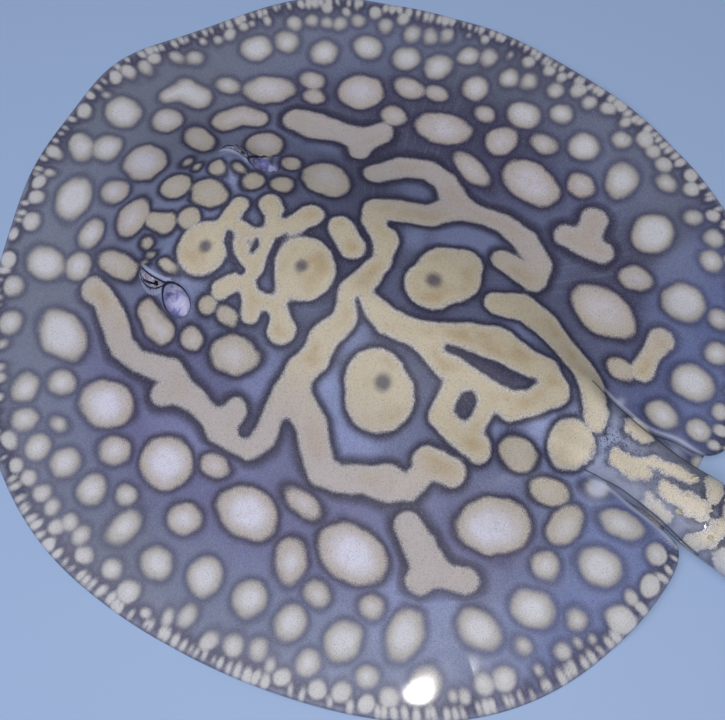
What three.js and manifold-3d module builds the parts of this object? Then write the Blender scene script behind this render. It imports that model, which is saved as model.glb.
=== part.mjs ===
// A life-size freshwater stingray lying on its belly, in millimetres.
// +Z is up, the snout points to -Y and the animal's left is +X. The origin is on the belly flat, at the
// middle of the disc. The body is one skin of height over plan, built on a branching midline, and it is
// then parted by thin cuts into the parts that a person would name.
import * as THREE from "three";
import { mergeVertices } from "three/addons/utils/BufferGeometryUtils.js";
import Module from "manifold-3d";

const wasm = await Module();
wasm.setup();

// ---------------------------------------------------------------- driving dimensions
const GAP = 0.3; // clearance between parts that touch
const MARGIN = { mean: 210.8, reach: 8.9, oval: 7.8, shoulder: 2.1, corner: -3.7, lobe: 2.4 };
const SNOUT_TURN = [
  { bearing: -18, spread: 9, out: 9 }, // the snout's edge is carried a little to the right
  { bearing: 12, spread: 13, out: -8 },
];
const WING = { edge: 1.8, thick: 13.3, flare: 2.4, fall: 0.95 };
const NOTCH = { reach: 16, middle: 0.5, blunt: 6, bluntLead: 16, bluntOver: 18, lead: 26 }; // valleys that lead to the notches
// Lengths of y in which a size changes are given as [from, to].
const HUMP = { height: 31, rise: [-222, -85], fall: 0.5, fallSpan: [-20, 175], margin: 8 };
const HUMP_WIDTH = { snout: 46, shoulders: 64, hips: 23, widen: [-150, -30], narrow: [20, 138] };
const HUMP_SIDES = { front: 2.4, rear: 4, change: [70, 140] }; // how steep its sides are
const LOBE_ROOT = { humpEnd: [148, 168], waveEnd: [140, 165] }; // where hump and waves run out on the lobes
const ORBIT = { x: 36, y: -107, rise: 10, spread: 11 };
const SHOULDER = { x: 52, y: -28, rise: 3.2, spreadX: 26, spreadY: 44 };
const BACK_RIDGE = { rise: 1.6, spread: 9, grow: [-60, -20], shrink: [80, 110] };
const RIPPLE = { start: 0.74, mean: 2.4, long: 2.6, longCount: 7, short: 1.3, shortCount: 12 };
const PELVIC_ROOM = { raise: 5, from: 100, to: 122, below: -4, above: -16, beside: 0.5, fadeFrom: 70, fadeTo: 98 };
const MIDLINE = { front: -70, fork: 95, lobe: [46, 142], spineSteps: 5, lobeSteps: 3, bearings: [42, 139] };
const TAIL = {
  start: 120,
  blend: [150, 200],
  taperFrom: 200,
  end: 520,
  halfWidth: 19.5,
  depth: 24,
  tipHalfWidth: 1.3,
  tipDepth: 2.2,
  taper: 1.5,
  root: { out: 5.5, span: [120, 160] },
  waist: { thin: 2.8, span: [175, 205] },
  offset: 3,
  offsetEnd: 150,
  lean: 0.3,
  leanOver: 70,
  curl: 16,
  curlFrom: 340,
  flat: 0.4, // how much of the round underside is pressed flat
};
const KEEL = { rise: 4, from: 285, to: 325 }; // the lower fold holds the tail's end off the floor
const LOBES = {
  left: { side: 1, apex: 150, tipBearing: 163, corner: 202, inner: 191, gap: 0.7, bow: 0 },
  right: { side: -1, apex: 134, tipBearing: 168, corner: 199, inner: 178, gap: 1.4, bow: 7 },
};
const BOW_SPAN = [148, 178]; // where a lobe's inner margin bows away from the tail
const RINGS = 8;
const STEPS = { outer: 30, inner: 7, tail: 15 };

// ---------------------------------------------------------------- small helpers
const rad = THREE.MathUtils.degToRad;
const lerp = THREE.MathUtils.lerp;
const smooth = (from, to, value) => THREE.MathUtils.smoothstep(value, from, to);
const rising = ([from, to], value) => smooth(from, to, value);
const falling = (span, value) => 1 - rising(span, value);
const bell = (offset, spread) => Math.exp(-((offset / spread) ** 2));

function marginRadius(bearing) {
  const cosines = [MARGIN.mean, MARGIN.reach, MARGIN.oval, MARGIN.shoulder, MARGIN.corner, MARGIN.lobe];
  const even = cosines.reduce((sum, share, k) => sum + share * Math.cos(k * bearing), 0);
  const turned = SNOUT_TURN.reduce(
    (sum, b) => sum + b.out * bell(THREE.MathUtils.radToDeg(bearing) - b.bearing, b.spread),
    0,
  );
  return even + turned;
}

// How far out a plan point is: 0 at the origin and 1 at the margin.
const reach = (x, y) => Math.hypot(x, y) / marginRadius(Math.atan2(x, -y));

const marginPoint = (bearing) => {
  const r = marginRadius(bearing);
  return [r * Math.sin(bearing), -r * Math.cos(bearing)];
};

// ---------------------------------------------------------------- the tail's line and section
const tailShare = (y) => THREE.MathUtils.clamp((y - TAIL.taperFrom) / (TAIL.end - TAIL.taperFrom), 0, 1);

function tailCentre(y) {
  const along = Math.max(0, y - TAIL.start);
  const swung = along - TAIL.leanOver * (1 - Math.exp(-along / TAIL.leanOver));
  const curl = Math.max(0, (y - TAIL.curlFrom) / (TAIL.end - TAIL.curlFrom)) ** 2;
  return TAIL.offset * smooth(MIDLINE.fork, TAIL.offsetEnd, y) + TAIL.lean * swung - TAIL.curl * curl;
}

function tailHalfWidth(y) {
  const { root: foot, waist } = TAIL;
  const root = TAIL.halfWidth - waist.thin * falling(waist.span, y) + foot.out * falling(foot.span, y);
  return lerp(TAIL.tipHalfWidth, root, (1 - tailShare(y)) ** TAIL.taper);
}

const tailDepth = (y) => lerp(TAIL.tipDepth, TAIL.depth, (1 - tailShare(y)) ** TAIL.taper);
const tailBase = (y) => KEEL.rise * smooth(KEEL.from, KEEL.to, y);

// ---------------------------------------------------------------- heights over plan
function humpHeight(x, y) {
  const h = HUMP.height * rising(HUMP.rise, y) * (1 - HUMP.fall * rising(HUMP.fallSpan, y));
  const width =
    lerp(HUMP_WIDTH.snout, HUMP_WIDTH.shoulders, rising(HUMP_WIDTH.widen, y)) -
    (HUMP_WIDTH.shoulders - HUMP_WIDTH.hips) * rising(HUMP_WIDTH.narrow, y);
  const power = lerp(HUMP_SIDES.front, HUMP_SIDES.rear, rising(HUMP_SIDES.change, y));
  const across = Math.exp(-((Math.abs(x - tailCentre(y)) / width) ** power));
  return h * across * Math.max(0, 1 - reach(x, y) ** HUMP.margin);
}

function details(x, y) {
  const orbit = ORBIT.rise * bell(Math.hypot(Math.abs(x) - ORBIT.x, y - ORBIT.y), ORBIT.spread);
  const shoulder =
    SHOULDER.rise * bell(Math.abs(x) - SHOULDER.x, SHOULDER.spreadX) * bell(y - SHOULDER.y, SHOULDER.spreadY);
  const along = rising(BACK_RIDGE.grow, y) * falling(BACK_RIDGE.shrink, y);
  return orbit + shoulder + BACK_RIDGE.rise * bell(x, BACK_RIDGE.spread) * along;
}

function ripple(x, y) {
  const bearing = Math.atan2(x, -y);
  const wave =
    RIPPLE.mean +
    RIPPLE.long * Math.sin(RIPPLE.longCount * bearing + 1) +
    RIPPLE.short * Math.sin(RIPPLE.shortCount * bearing);
  return Math.max(0, wave) * smooth(RIPPLE.start, 1, reach(x, y));
}

// The lift of the rear lobes over the pelvic fins, which begins at a distance beside the tail's side.
function pelvicRoom(x, y, start) {
  const beside = Math.abs(x - tailCentre(y)) - tailHalfWidth(y);
  return (
    PELVIC_ROOM.raise *
    smooth(PELVIC_ROOM.from, PELVIC_ROOM.to, y) *
    smooth(start, PELVIC_ROOM.beside, beside) *
    (1 - smooth(PELVIC_ROOM.fadeFrom, PELVIC_ROOM.fadeTo, Math.abs(x)))
  );
}

// The plain disc's thickness: it thins to the margin and to the lobes' free inner margins.
function wingHeight(x, y) {
  const full = Math.max(0, 1 - reach(x, y) ** WING.flare) ** WING.fall;
  const across = x - tailCentre(y);
  const apex = (across > 0 ? LOBES.left : LOBES.right).apex;
  const blunt = NOTCH.blunt * (1 - smooth(0, NOTCH.bluntOver, y - apex + NOTCH.bluntLead));
  const beside = Math.abs(across) - tailHalfWidth(y) - NOTCH.middle;
  const away = Math.min(1, Math.hypot(beside, blunt) / NOTCH.reach);
  const valley = (1 - (1 - away) ** 2) ** WING.fall;
  const parted = smooth(0, NOTCH.lead, y - apex + NOTCH.lead);
  return WING.edge + (WING.thick - WING.edge) * full * (1 - parted * (1 - valley));
}

// Lowest and highest z of the body at a plan point.
function levels(x, y, onTail) {
  const rearward = onTail ? 1 : falling(LOBE_ROOT.humpEnd, y);
  const waves = onTail ? 0 : ripple(x, y) * falling(LOBE_ROOT.waveEnd, y);
  const floor = waves + pelvicRoom(x, y, PELVIC_ROOM.below);
  const roof = waves + pelvicRoom(x, y, PELVIC_ROOM.above);
  const disc = roof + wingHeight(x, y) + humpHeight(x, y) * rearward + details(x, y);
  if (!onTail) return [floor, disc];
  const u = Math.min(1, Math.abs(x - tailCentre(y)) / tailHalfWidth(y));
  const round = Math.sqrt(1 - u * u);
  const half = tailDepth(y) / 2;
  const blend = rising(TAIL.blend, y);
  const low = Math.max(0, tailBase(y) + half * (1 - round) - TAIL.flat);
  const high = tailBase(y) + half * (1 + round) + (u >= 1 ? 0.4 : 0);
  return [lerp(floor, low, blend), lerp(disc, high, blend)];
}

// ---------------------------------------------------------------- stations round the plan
// Each station pairs a point of the midline with a point of the margin. Walking round the margin walks
// round the branching midline, so that strips on its two sides share their inner points.
function midlinePoints() {
  const spine = Array.from({ length: MIDLINE.spineSteps + 1 }, (_, i) => [
    0,
    lerp(MIDLINE.front, MIDLINE.fork, i / MIDLINE.spineSteps),
  ]);
  const branch = (side) =>
    Array.from({ length: MIDLINE.lobeSteps }, (_, i) => {
      const share = (i + 1) / MIDLINE.lobeSteps;
      return [side * MIDLINE.lobe[0] * share, lerp(MIDLINE.fork, MIDLINE.lobe[1], share)];
    });
  return { spine, branch };
}

function innerMargin(lobe, y) {
  const beside = tailHalfWidth(y) + lobe.gap + lobe.bow * rising(BOW_SPAN, y);
  return [tailCentre(y) + lobe.side * beside, y];
}

function halfStations(lobe) {
  const { spine, branch } = midlinePoints();
  const fork = spine[spine.length - 1];
  const outward = [...spine, ...branch(lobe.side)];
  const stations = [];
  const tip = rad(lobe.tipBearing);
  const [fanned, ended] = MIDLINE.bearings.map(rad); // fans turn about both ends of the midline
  for (let i = 0; i <= STEPS.outer; i++) {
    const bearing = (tip * i) / STEPS.outer;
    const walked = THREE.MathUtils.clamp((bearing - fanned) / (ended - fanned), 0, 1);
    const root = outward[Math.round(walked * (outward.length - 1))];
    stations.push({ root, rim: marginPoint(lobe.side * bearing), onTail: false });
  }
  // round the lobe's corner and forward along its inner margin
  const corner = new THREE.QuadraticBezierCurve(
    new THREE.Vector2(...marginPoint(lobe.side * tip)),
    new THREE.Vector2(...innerMargin(lobe, lobe.corner)),
    new THREE.Vector2(...innerMargin(lobe, lobe.inner)),
  );
  const back = [...outward].slice(spine.length - 1).reverse();
  const half = Math.ceil(STEPS.inner / 2);
  for (let i = 1; i <= half; i++) {
    const p = corner.getPoint(i / half);
    stations.push({ root: back[0], rim: [p.x, p.y], onTail: false });
  }
  const forward = STEPS.inner - half + 1;
  for (let i = 1; i <= forward; i++) {
    const y = lerp(lobe.inner, lobe.apex, i / forward);
    stations.push({ root: i < forward ? back[0] : back[1], rim: innerMargin(lobe, y), onTail: false });
  }
  // the apex of the notch, then the tail's side
  const side = (y) => [tailCentre(y) + lobe.side * tailHalfWidth(y), y];
  const [ax, ay] = innerMargin(lobe, lobe.apex);
  stations.push({ root: back[2], rim: [ax, ay], onTail: false });
  stations.push({ root: fork, rim: [(ax + side(ay)[0]) / 2, ay - lobe.gap / 2], onTail: false });
  for (let i = 0; i < STEPS.tail; i++) {
    const share = i / STEPS.tail;
    const y = lerp(lobe.apex, TAIL.end - 4, share);
    stations.push({ root: tailRoot(i), rim: side(y), onTail: true });
  }
  return stations;
}

// The tail's midline points are the same on both sides, whichever height its side begins at.
function tailRoot(i) {
  const y = i === 0 ? MIDLINE.fork : lerp(MIDLINE.fork + 12, TAIL.end - 4, (i / STEPS.tail) ** 0.96);
  return i === 0 ? [0, MIDLINE.fork] : [tailCentre(y), y];
}

function allStations() {
  const left = halfStations(LOBES.left);
  const right = halfStations(LOBES.right).slice(1).reverse();
  const end = TAIL.end;
  const tip = { root: tailRoot(STEPS.tail), rim: [tailCentre(end), end], onTail: true };
  return [...left, tip, ...right];
}

// ---------------------------------------------------------------- meshes and booleans
function geometryFrom(positions, triangles) {
  const g = new THREE.BufferGeometry();
  g.setAttribute("position", new THREE.Float32BufferAttribute(positions.flat(), 3));
  g.setIndex(triangles.flat());
  return g;
}

function solid(geometry, matrix) {
  const g = geometry.index ? geometry.toNonIndexed() : geometry.clone();
  for (const name of Object.keys(g.attributes)) if (name !== "position") g.deleteAttribute(name);
  if (matrix) g.applyMatrix4(matrix);
  const merged = mergeVertices(g, 1e-3);
  const kept = [];
  const index = merged.index.array;
  for (let i = 0; i < index.length; i += 3) {
    const [a, b, c] = [index[i], index[i + 1], index[i + 2]];
    if (a !== b && b !== c && a !== c) kept.push(a, b, c);
  }
  return new wasm.Manifold(
    new wasm.Mesh({
      numProp: 3,
      vertProperties: new Float32Array(merged.attributes.position.array),
      triVerts: new Uint32Array(kept),
    }),
  );
}

function bodySkin() {
  const stations = allStations();
  const count = stations.length;
  const positions = [];
  const triangles = [];
  const ringShare = (j) => Math.sin(((j / RINGS) * Math.PI) / 2) ** 0.9;
  for (const upper of [0, 1]) {
    for (const s of stations) {
      for (let j = 0; j <= RINGS; j++) {
        const share = ringShare(j);
        const x = lerp(s.root[0], s.rim[0], share);
        const y = lerp(s.root[1], s.rim[1], share);
        positions.push([x, y, levels(x, y, s.onTail)[upper]]);
      }
    }
  }
  const at = (upper, i, j) => upper * count * (RINGS + 1) + (i % count) * (RINGS + 1) + j;
  for (let i = 0; i < count; i++) {
    for (let j = 0; j < RINGS; j++) {
      const top = [at(1, i, j), at(1, i + 1, j), at(1, i + 1, j + 1), at(1, i, j + 1)];
      const low = [at(0, i, j), at(0, i + 1, j), at(0, i + 1, j + 1), at(0, i, j + 1)];
      triangles.push([top[0], top[3], top[2]], [top[0], top[2], top[1]]);
      triangles.push([low[0], low[2], low[3]], [low[0], low[1], low[2]]);
    }
    const [a, b] = [at(1, i, RINGS), at(1, i + 1, RINGS)];
    const [c, d] = [at(0, i, RINGS), at(0, i + 1, RINGS)];
    triangles.push([a, c, d], [a, d, b]);
  }
  return solid(geometryFrom(positions, triangles));
}

// A tall prism over a closed plan outline, given as [x, y] points.
function prism(outline, low = -30, high = 90) {
  const shape = new THREE.Shape(outline.map(([x, y]) => new THREE.Vector2(x, y)));
  const g = new THREE.ExtrudeGeometry(shape, { depth: high - low, bevelEnabled: false, steps: 1 });
  return solid(g, new THREE.Matrix4().makeTranslation(0, 0, low));
}

function ellipsoid(centre, radii, segments = 12, turn = 0) {
  const m = new THREE.Matrix4()
    .makeTranslation(...centre)
    .multiply(new THREE.Matrix4().makeRotationZ(turn))
    .multiply(new THREE.Matrix4().makeScale(...radii));
  return solid(new THREE.SphereGeometry(1, segments, Math.round(segments * 0.7)), m);
}

function slot(centre, length, width, depth, turn) {
  const m = new THREE.Matrix4()
    .makeTranslation(centre[0], centre[1], depth / 2 - 0.5)
    .multiply(new THREE.Matrix4().makeRotationZ(turn));
  return solid(new THREE.BoxGeometry(length, width, depth + 1), m);
}

// ---------------------------------------------------------------- parting lines
const COLUMN = { snout: [30, -262], brow: [60, -150], shoulder: [70, -58], middle: [63.2, 0], waist: [56, 62] };
const TAIL_CUTS = { root: 146, middle: 262, rear: 345, tip: 430 };
const FIN_CUT = [260, 12]; // where the cut between a fin's front and rear leaves the disc
const FAR = 262; // clear of the disc on every side
const CUT_REACH = { root: 22, tail: 40, region: 34 }; // how far the tail's cuts reach from its midline

const mirrored = ([x, y], side) => [side * x, y];

function wall([ax, ay], [bx, by], reach = GAP) {
  const length = Math.hypot(bx - ax, by - ay) + reach;
  const m = new THREE.Matrix4()
    .makeTranslation((ax + bx) / 2, (ay + by) / 2, 30)
    .multiply(new THREE.Matrix4().makeRotationZ(Math.atan2(by - ay, bx - ax)));
  return solid(new THREE.BoxGeometry(length, GAP, 120), m);
}

// A point half way across the notch between a lobe and the tail.
function notchMiddle(lobe, y) {
  return [tailCentre(y) + lobe.side * (tailHalfWidth(y) + lobe.gap / 2), y];
}

// The innermost point of the notch between a lobe and the tail.
function notchApex(lobe) {
  const [x, y] = innerMargin(lobe, lobe.apex);
  return [(x + tailCentre(y) + lobe.side * tailHalfWidth(y)) / 2, y + lobe.gap];
}

function partingWalls() {
  const walls = [];
  for (const lobe of Object.values(LOBES)) {
    const line = Object.values(COLUMN).map((p) => mirrored(p, lobe.side));
    line.push(notchApex(lobe));
    for (let i = 0; i + 1 < line.length; i++) walls.push(wall(line[i], line[i + 1]));
    walls.push(wall(mirrored(COLUMN.middle, lobe.side), mirrored(FIN_CUT, lobe.side)));
  }
  for (const [x, y] of [COLUMN.brow, COLUMN.shoulder, COLUMN.waist]) walls.push(wall([-x, y], [x, y]));
  for (const y of Object.values(TAIL_CUTS)) {
    const out = y === TAIL_CUTS.root ? CUT_REACH.root : CUT_REACH.tail;
    walls.push(wall([tailCentre(y) - out, y], [tailCentre(y) + out, y]));
  }
  return walls;
}

function regions() {
  const l = (p) => mirrored(p, 1);
  const r = (p) => mirrored(p, -1);
  const c = COLUMN;
  const [left, right] = [notchApex(LOBES.left), notchApex(LOBES.right)];
  const tailBand = (from, to) => [
    [tailCentre(from) - CUT_REACH.region, from],
    [tailCentre(from) + CUT_REACH.region, from],
    [tailCentre(to) + CUT_REACH.region, to],
    [tailCentre(to) - CUT_REACH.region, to],
  ];
  const fin = (side, notch) => ({
    front: [c.snout, c.brow, c.shoulder, c.middle, FIN_CUT, [FAR, -FAR]].map((p) => mirrored(p, side)),
    rear: [
      ...[FIN_CUT, c.middle, c.waist].map((p) => mirrored(p, side)),
      ...notch,
      [side * FAR, FAR],
    ],
  });
  const notchLine = (lobe) => [notchApex(lobe), ...[160, 170, 180, 190, 200, 214].map((y) => notchMiddle(lobe, y))];
  const leftFin = fin(1, notchLine(LOBES.left));
  const rightFin = fin(-1, notchLine(LOBES.right));
  const rootCut = TAIL_CUTS.root;
  return {
    snout: [r(c.snout), l(c.snout), l(c.brow), r(c.brow)],
    head: [r(c.brow), l(c.brow), l(c.shoulder), r(c.shoulder)],
    back: [r(c.shoulder), l(c.shoulder), l(c.middle), l(c.waist), r(c.waist), r(c.middle)],
    hips: [
      r(c.waist),
      l(c.waist),
      [lerp(c.waist[0], left[0], (rootCut - c.waist[1]) / (left[1] - c.waist[1])), rootCut],
      notchMiddle(LOBES.right, rootCut),
      notchMiddle(LOBES.right, 140),
      right,
    ],
    left_pectoral_front: leftFin.front,
    right_pectoral_front: rightFin.front,
    left_pectoral_rear: leftFin.rear,
    right_pectoral_rear: rightFin.rear,
    tail_middle: tailBand(TAIL_CUTS.middle, TAIL_CUTS.rear),
    tail_rear: tailBand(TAIL_CUTS.rear, TAIL_CUTS.tip),
    tail_tip: tailBand(TAIL_CUTS.tip, TAIL.end + 20),
  };
}

// The tail's base lies between the two lobes, so its region follows its own sides.
function tailBaseRegion() {
  const ys = Array.from({ length: 9 }, (_, i) => lerp(TAIL_CUTS.root, TAIL_CUTS.middle, i / 8));
  const side = (s) => ys.map((y) => [tailCentre(y) + s * (tailHalfWidth(y) + 0.4), y]);
  return [...side(1), ...side(-1).reverse()];
}

// ---------------------------------------------------------------- details of the head
const EYE = { centre: [39.5, -109.5, 28.5], radii: [8, 8.6, 7.4] };
const SPIRACLE = { centre: [47, -90.5, 30], radii: [6.2, 8.6, 11], turn: 0.35 };
const MOUTH = { y: -128, width: 34, gap: 2.6, depth: 5, bow: 3.5 };
const NOSTRIL = { x: 18.5, y: -137, length: 6.5, width: 2.6, depth: 4, turn: 0.7 };
const LIP = { length: 9, thick: 2.6 };
const FLAP = { length: 13, thick: 2.0 };
const GILLS = { count: 5, x: 43, from: -52, to: -4, step: -2.4, length: 9, width: 1.3, depth: 2.5, turn: 0.3 };
const VENT = { y: 108, radii: [3, 6, 3] };

const both = (make) => [1, -1].map(make);

function lipOutline(front, back, half, bow, grow = 0) {
  const n = 10;
  const edge = (y, g, from, to) =>
    Array.from({ length: n + 1 }, (_, i) => {
      const t = lerp(from, to, i / n);
      return [(half + grow) * t, y + bow * t * t + g * (1 - t * t * 0.4)];
    });
  return [...edge(front, -grow, -1, 1), ...edge(back, grow, 1, -1)];
}

function underMouth(grow) {
  const jawFront = MOUTH.y + MOUTH.gap / 2;
  const lip = lipOutline(jawFront, jawFront + LIP.length, MOUTH.width / 2 - 2, -MOUTH.bow, grow);
  const flapBack = MOUTH.y - MOUTH.gap / 2;
  const flap = lipOutline(flapBack - FLAP.length, flapBack, MOUTH.width / 2 - 1, -MOUTH.bow, grow);
  return {
    lower_jaw: prism(lip, grow ? -5 : 0.1, LIP.thick + grow),
    nasal_flap: prism(flap, grow ? -5 : 0.1, FLAP.thick + grow),
  };
}

function headCuts() {
  const [ex, ey, ez] = EYE.centre;
  const sockets = both((s) => ellipsoid([s * ex, ey, ez], EYE.radii.map((r) => r + GAP), 12));
  const spiracles = both((s) =>
    ellipsoid([s * SPIRACLE.centre[0], SPIRACLE.centre[1], SPIRACLE.centre[2]], SPIRACLE.radii, 12, -s * SPIRACLE.turn),
  );
  const nostrils = both((s) =>
    slot([s * NOSTRIL.x, NOSTRIL.y], NOSTRIL.length, NOSTRIL.width, NOSTRIL.depth, s * NOSTRIL.turn),
  );
  const mouth = prism(
    lipOutline(MOUTH.y - MOUTH.gap / 2, MOUTH.y + MOUTH.gap / 2, MOUTH.width / 2, -MOUTH.bow),
    -5,
    MOUTH.depth,
  );
  return [...sockets, ...spiracles, ...nostrils, mouth, ...Object.values(underMouth(GAP))];
}

function gillCuts() {
  const cuts = [];
  for (let i = 0; i < GILLS.count; i++) {
    const y = lerp(GILLS.from, GILLS.to, i / (GILLS.count - 1));
    for (const s of [1, -1]) {
      cuts.push(slot([s * (GILLS.x + i * GILLS.step), y], GILLS.length, GILLS.width, GILLS.depth, s * GILLS.turn));
    }
  }
  return cuts;
}

// ---------------------------------------------------------------- thorns, sting and folds
const THORNS = { from: 152, to: 338, step: 11.5, high: 4.2, wide: 2.5, sides: 5, lean: 0.42, buried: 2.2 };
const THORN_SIZE = { first: 0.35, full: 240, shrink: 0.35 }; // small at the hips, largest at mid tail
const SIDE_THORNS = { from: 186, to: 330, step: 18, high: 2.8, wide: 1.8, out: 0.52, splay: 0.9 };
const STING = { root: 348, length: 74, width: 5.6, thick: 2.2, lift: 0.5, tilt: 0.035, teeth: 11, bite: 0.9 };
const STING_EDGE = { taper: 2.2, point: 0.25, plain: 0.16, shrink: 0.6 };
const UPPER_FOLD = { from: 428, to: 492, low: 0.3, high: 2.6, thick: 0.9 };
const LOWER_FOLD = { from: 330, to: 498, low: 0.3, high: 3, thick: 0.9 };

const tailTop = (y) => tailBase(y) + tailDepth(y);

function thorn(y, across, high, wide) {
  const x = tailCentre(y) + across * tailHalfWidth(y);
  const z = levels(x, y, true)[1];
  const length = high + THORNS.buried;
  const cone = new THREE.ConeGeometry(wide, length, THORNS.sides, 1);
  const m = new THREE.Matrix4()
    .makeTranslation(x, y, z - THORNS.buried + length / 2)
    .multiply(new THREE.Matrix4().makeRotationX(-THORNS.lean))
    .multiply(new THREE.Matrix4().makeRotationY(across * SIDE_THORNS.splay))
    .multiply(new THREE.Matrix4().makeRotationX(Math.PI / 2));
  return solid(cone, m);
}

function thorns() {
  const found = [];
  for (let y = THORNS.from; y < THORNS.to; y += THORNS.step) {
    const grown = lerp(THORN_SIZE.first, 1, smooth(THORNS.from, THORN_SIZE.full, y));
    const s = grown - (THORN_SIZE.shrink * (y - THORNS.from)) / (THORNS.to - THORNS.from);
    found.push({ y, body: thorn(y, 0, THORNS.high * s, THORNS.wide * s) });
  }
  for (let y = SIDE_THORNS.from; y < SIDE_THORNS.to; y += SIDE_THORNS.step) {
    for (const a of both((s) => s * SIDE_THORNS.out)) {
      found.push({ y, body: thorn(y, a, SIDE_THORNS.high, SIDE_THORNS.wide) });
    }
  }
  return found;
}

function sting() {
  const half = STING.width / 2;
  const edge = [];
  for (let i = 0; i <= STING.teeth * 2; i++) {
    const share = i / (STING.teeth * 2);
    const tooth = i % 2 && share > STING_EDGE.plain ? STING.bite * (1 - share * STING_EDGE.shrink) : 0;
    const w = half * (1 - share ** STING_EDGE.taper) + STING_EDGE.point;
    edge.push([Math.max(STING_EDGE.point, w - tooth), STING.length * share]);
  }
  const outline = [...edge, ...edge.map(([x, y]) => [-x, y]).reverse()];
  const shape = new THREE.Shape(outline.map(([x, y]) => new THREE.Vector2(x, y)));
  const g = new THREE.ExtrudeGeometry(shape, { depth: STING.thick, bevelEnabled: false });
  const y = STING.root;
  const slope = Math.atan2(tailTop(y + STING.length) - tailTop(y), STING.length);
  const turn = -Math.atan2(tailCentre(y + STING.length) - tailCentre(y), STING.length);
  const m = new THREE.Matrix4()
    .makeTranslation(tailCentre(y), y, tailTop(y) + STING.lift)
    .multiply(new THREE.Matrix4().makeRotationZ(turn))
    .multiply(new THREE.Matrix4().makeRotationX(slope + STING.tilt));
  return solid(g, m);
}

// A fold is a thin fin along the tail's midline, between the heights near(y) and far(y, share).
function fold({ from, to, thick }, near, far) {
  const n = 14;
  const positions = [];
  const triangles = [];
  for (let i = 0; i <= n; i++) {
    const y = lerp(from, to, i / n);
    const x = tailCentre(y);
    const [z0, z1] = [near(y), far(y, i / n)].sort((a, b) => a - b);
    positions.push([x - thick / 2, y, z0], [x + thick / 2, y, z0], [x + thick / 2, y, z1], [x - thick / 2, y, z1]);
  }
  for (let i = 0; i < n; i++) {
    for (let k = 0; k < 4; k++) {
      const [a, b] = [i * 4 + k, i * 4 + ((k + 1) % 4)];
      triangles.push([a, a + 4, b + 4], [a, b + 4, b]);
    }
  }
  const e = n * 4;
  triangles.push([0, 1, 2], [0, 2, 3], [e, e + 2, e + 1], [e, e + 3, e + 2]);
  return solid(geometryFrom(positions, triangles));
}

function tailFolds() {
  const swell = (share) => Math.max(0, Math.sin(Math.PI * Math.min(1, share * 1.04 + 0.02))) ** 0.6;
  const above = (y) => tailTop(y) + GAP;
  const below = (y) => tailBase(y) - TAIL.flat - GAP;
  const out = (size, share) => size.low + size.high * swell(share);
  return {
    tail_upper_fold: fold(UPPER_FOLD, above, (y, share) => above(y) + out(UPPER_FOLD, share)),
    tail_lower_fold: fold(LOWER_FOLD, below, (y, share) => below(y) - out(LOWER_FOLD, share)),
  };
}

// ---------------------------------------------------------------- pelvic fins
const PELVIC = { thick: 1.3, bevel: 0.8, spread: 62, back: 189, front: 134 };

function pelvicFin(lobe) {
  const s = lobe.side;
  const beside = (y) => tailCentre(y) + s * (tailHalfWidth(y) + 1.3);
  const shape = new THREE.Shape();
  shape.moveTo(beside(PELVIC.front + 8) + s * 2, PELVIC.front + 8);
  shape.lineTo(s * (PELVIC.spread - 16), PELVIC.front + 4);
  shape.quadraticCurveTo(s * PELVIC.spread, PELVIC.front + 12, s * (PELVIC.spread - 4), PELVIC.back - 18);
  shape.quadraticCurveTo(s * (PELVIC.spread - 14), PELVIC.back + 2, beside(PELVIC.back) + s * 8, PELVIC.back);
  shape.quadraticCurveTo(beside(PELVIC.back), PELVIC.back, beside(PELVIC.back - 8), PELVIC.back - 8);
  for (let y = PELVIC.back - 14; y > PELVIC.front + 12; y -= 7) shape.lineTo(beside(y), y);
  const g = new THREE.ExtrudeGeometry(shape, {
    depth: PELVIC.thick,
    bevelSize: PELVIC.bevel,
    bevelThickness: PELVIC.bevel,
    bevelSegments: 2,
    curveSegments: 6,
    bevelOffset: -PELVIC.bevel,
  });
  return solid(g, new THREE.Matrix4().makeTranslation(0, 0, PELVIC.bevel));
}

// ---------------------------------------------------------------- the finished parts
const SKIN_MATERIAL = { color: 0x5d6480, roughness: 0.32, metalness: 0 };
const FIN_MATERIAL = { color: 0x66708c, roughness: 0.34, metalness: 0 };
const FINISHES = {
  eye: { color: 0x16141c, roughness: 0.08, metalness: 0 },
  pale: { color: 0xcfc5bb, roughness: 0.4, metalness: 0 },
  sting: { color: 0xc9b994, roughness: 0.45, metalness: 0 },
};

function meshFrom(name, manifold, finish) {
  const { numProp, vertProperties, triVerts } = manifold.getMesh();
  const positions = new Float32Array((vertProperties.length / numProp) * 3);
  for (let i = 0; i < positions.length / 3; i++) {
    for (let k = 0; k < 3; k++) positions[i * 3 + k] = vertProperties[i * numProp + k];
  }
  const g = new THREE.BufferGeometry();
  g.setAttribute("position", new THREE.BufferAttribute(positions, 3));
  g.setIndex(Array.from(triVerts));
  g.computeVertexNormals();
  const mesh = new THREE.Mesh(g, new THREE.MeshStandardMaterial(finish));
  mesh.name = name;
  return mesh;
}

// A cut can leave crumbs beside the piece it makes; only the piece is kept.
const largest = (body) => body.decompose().reduce((a, b) => (b.volume() > a.volume() ? b : a));

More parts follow.
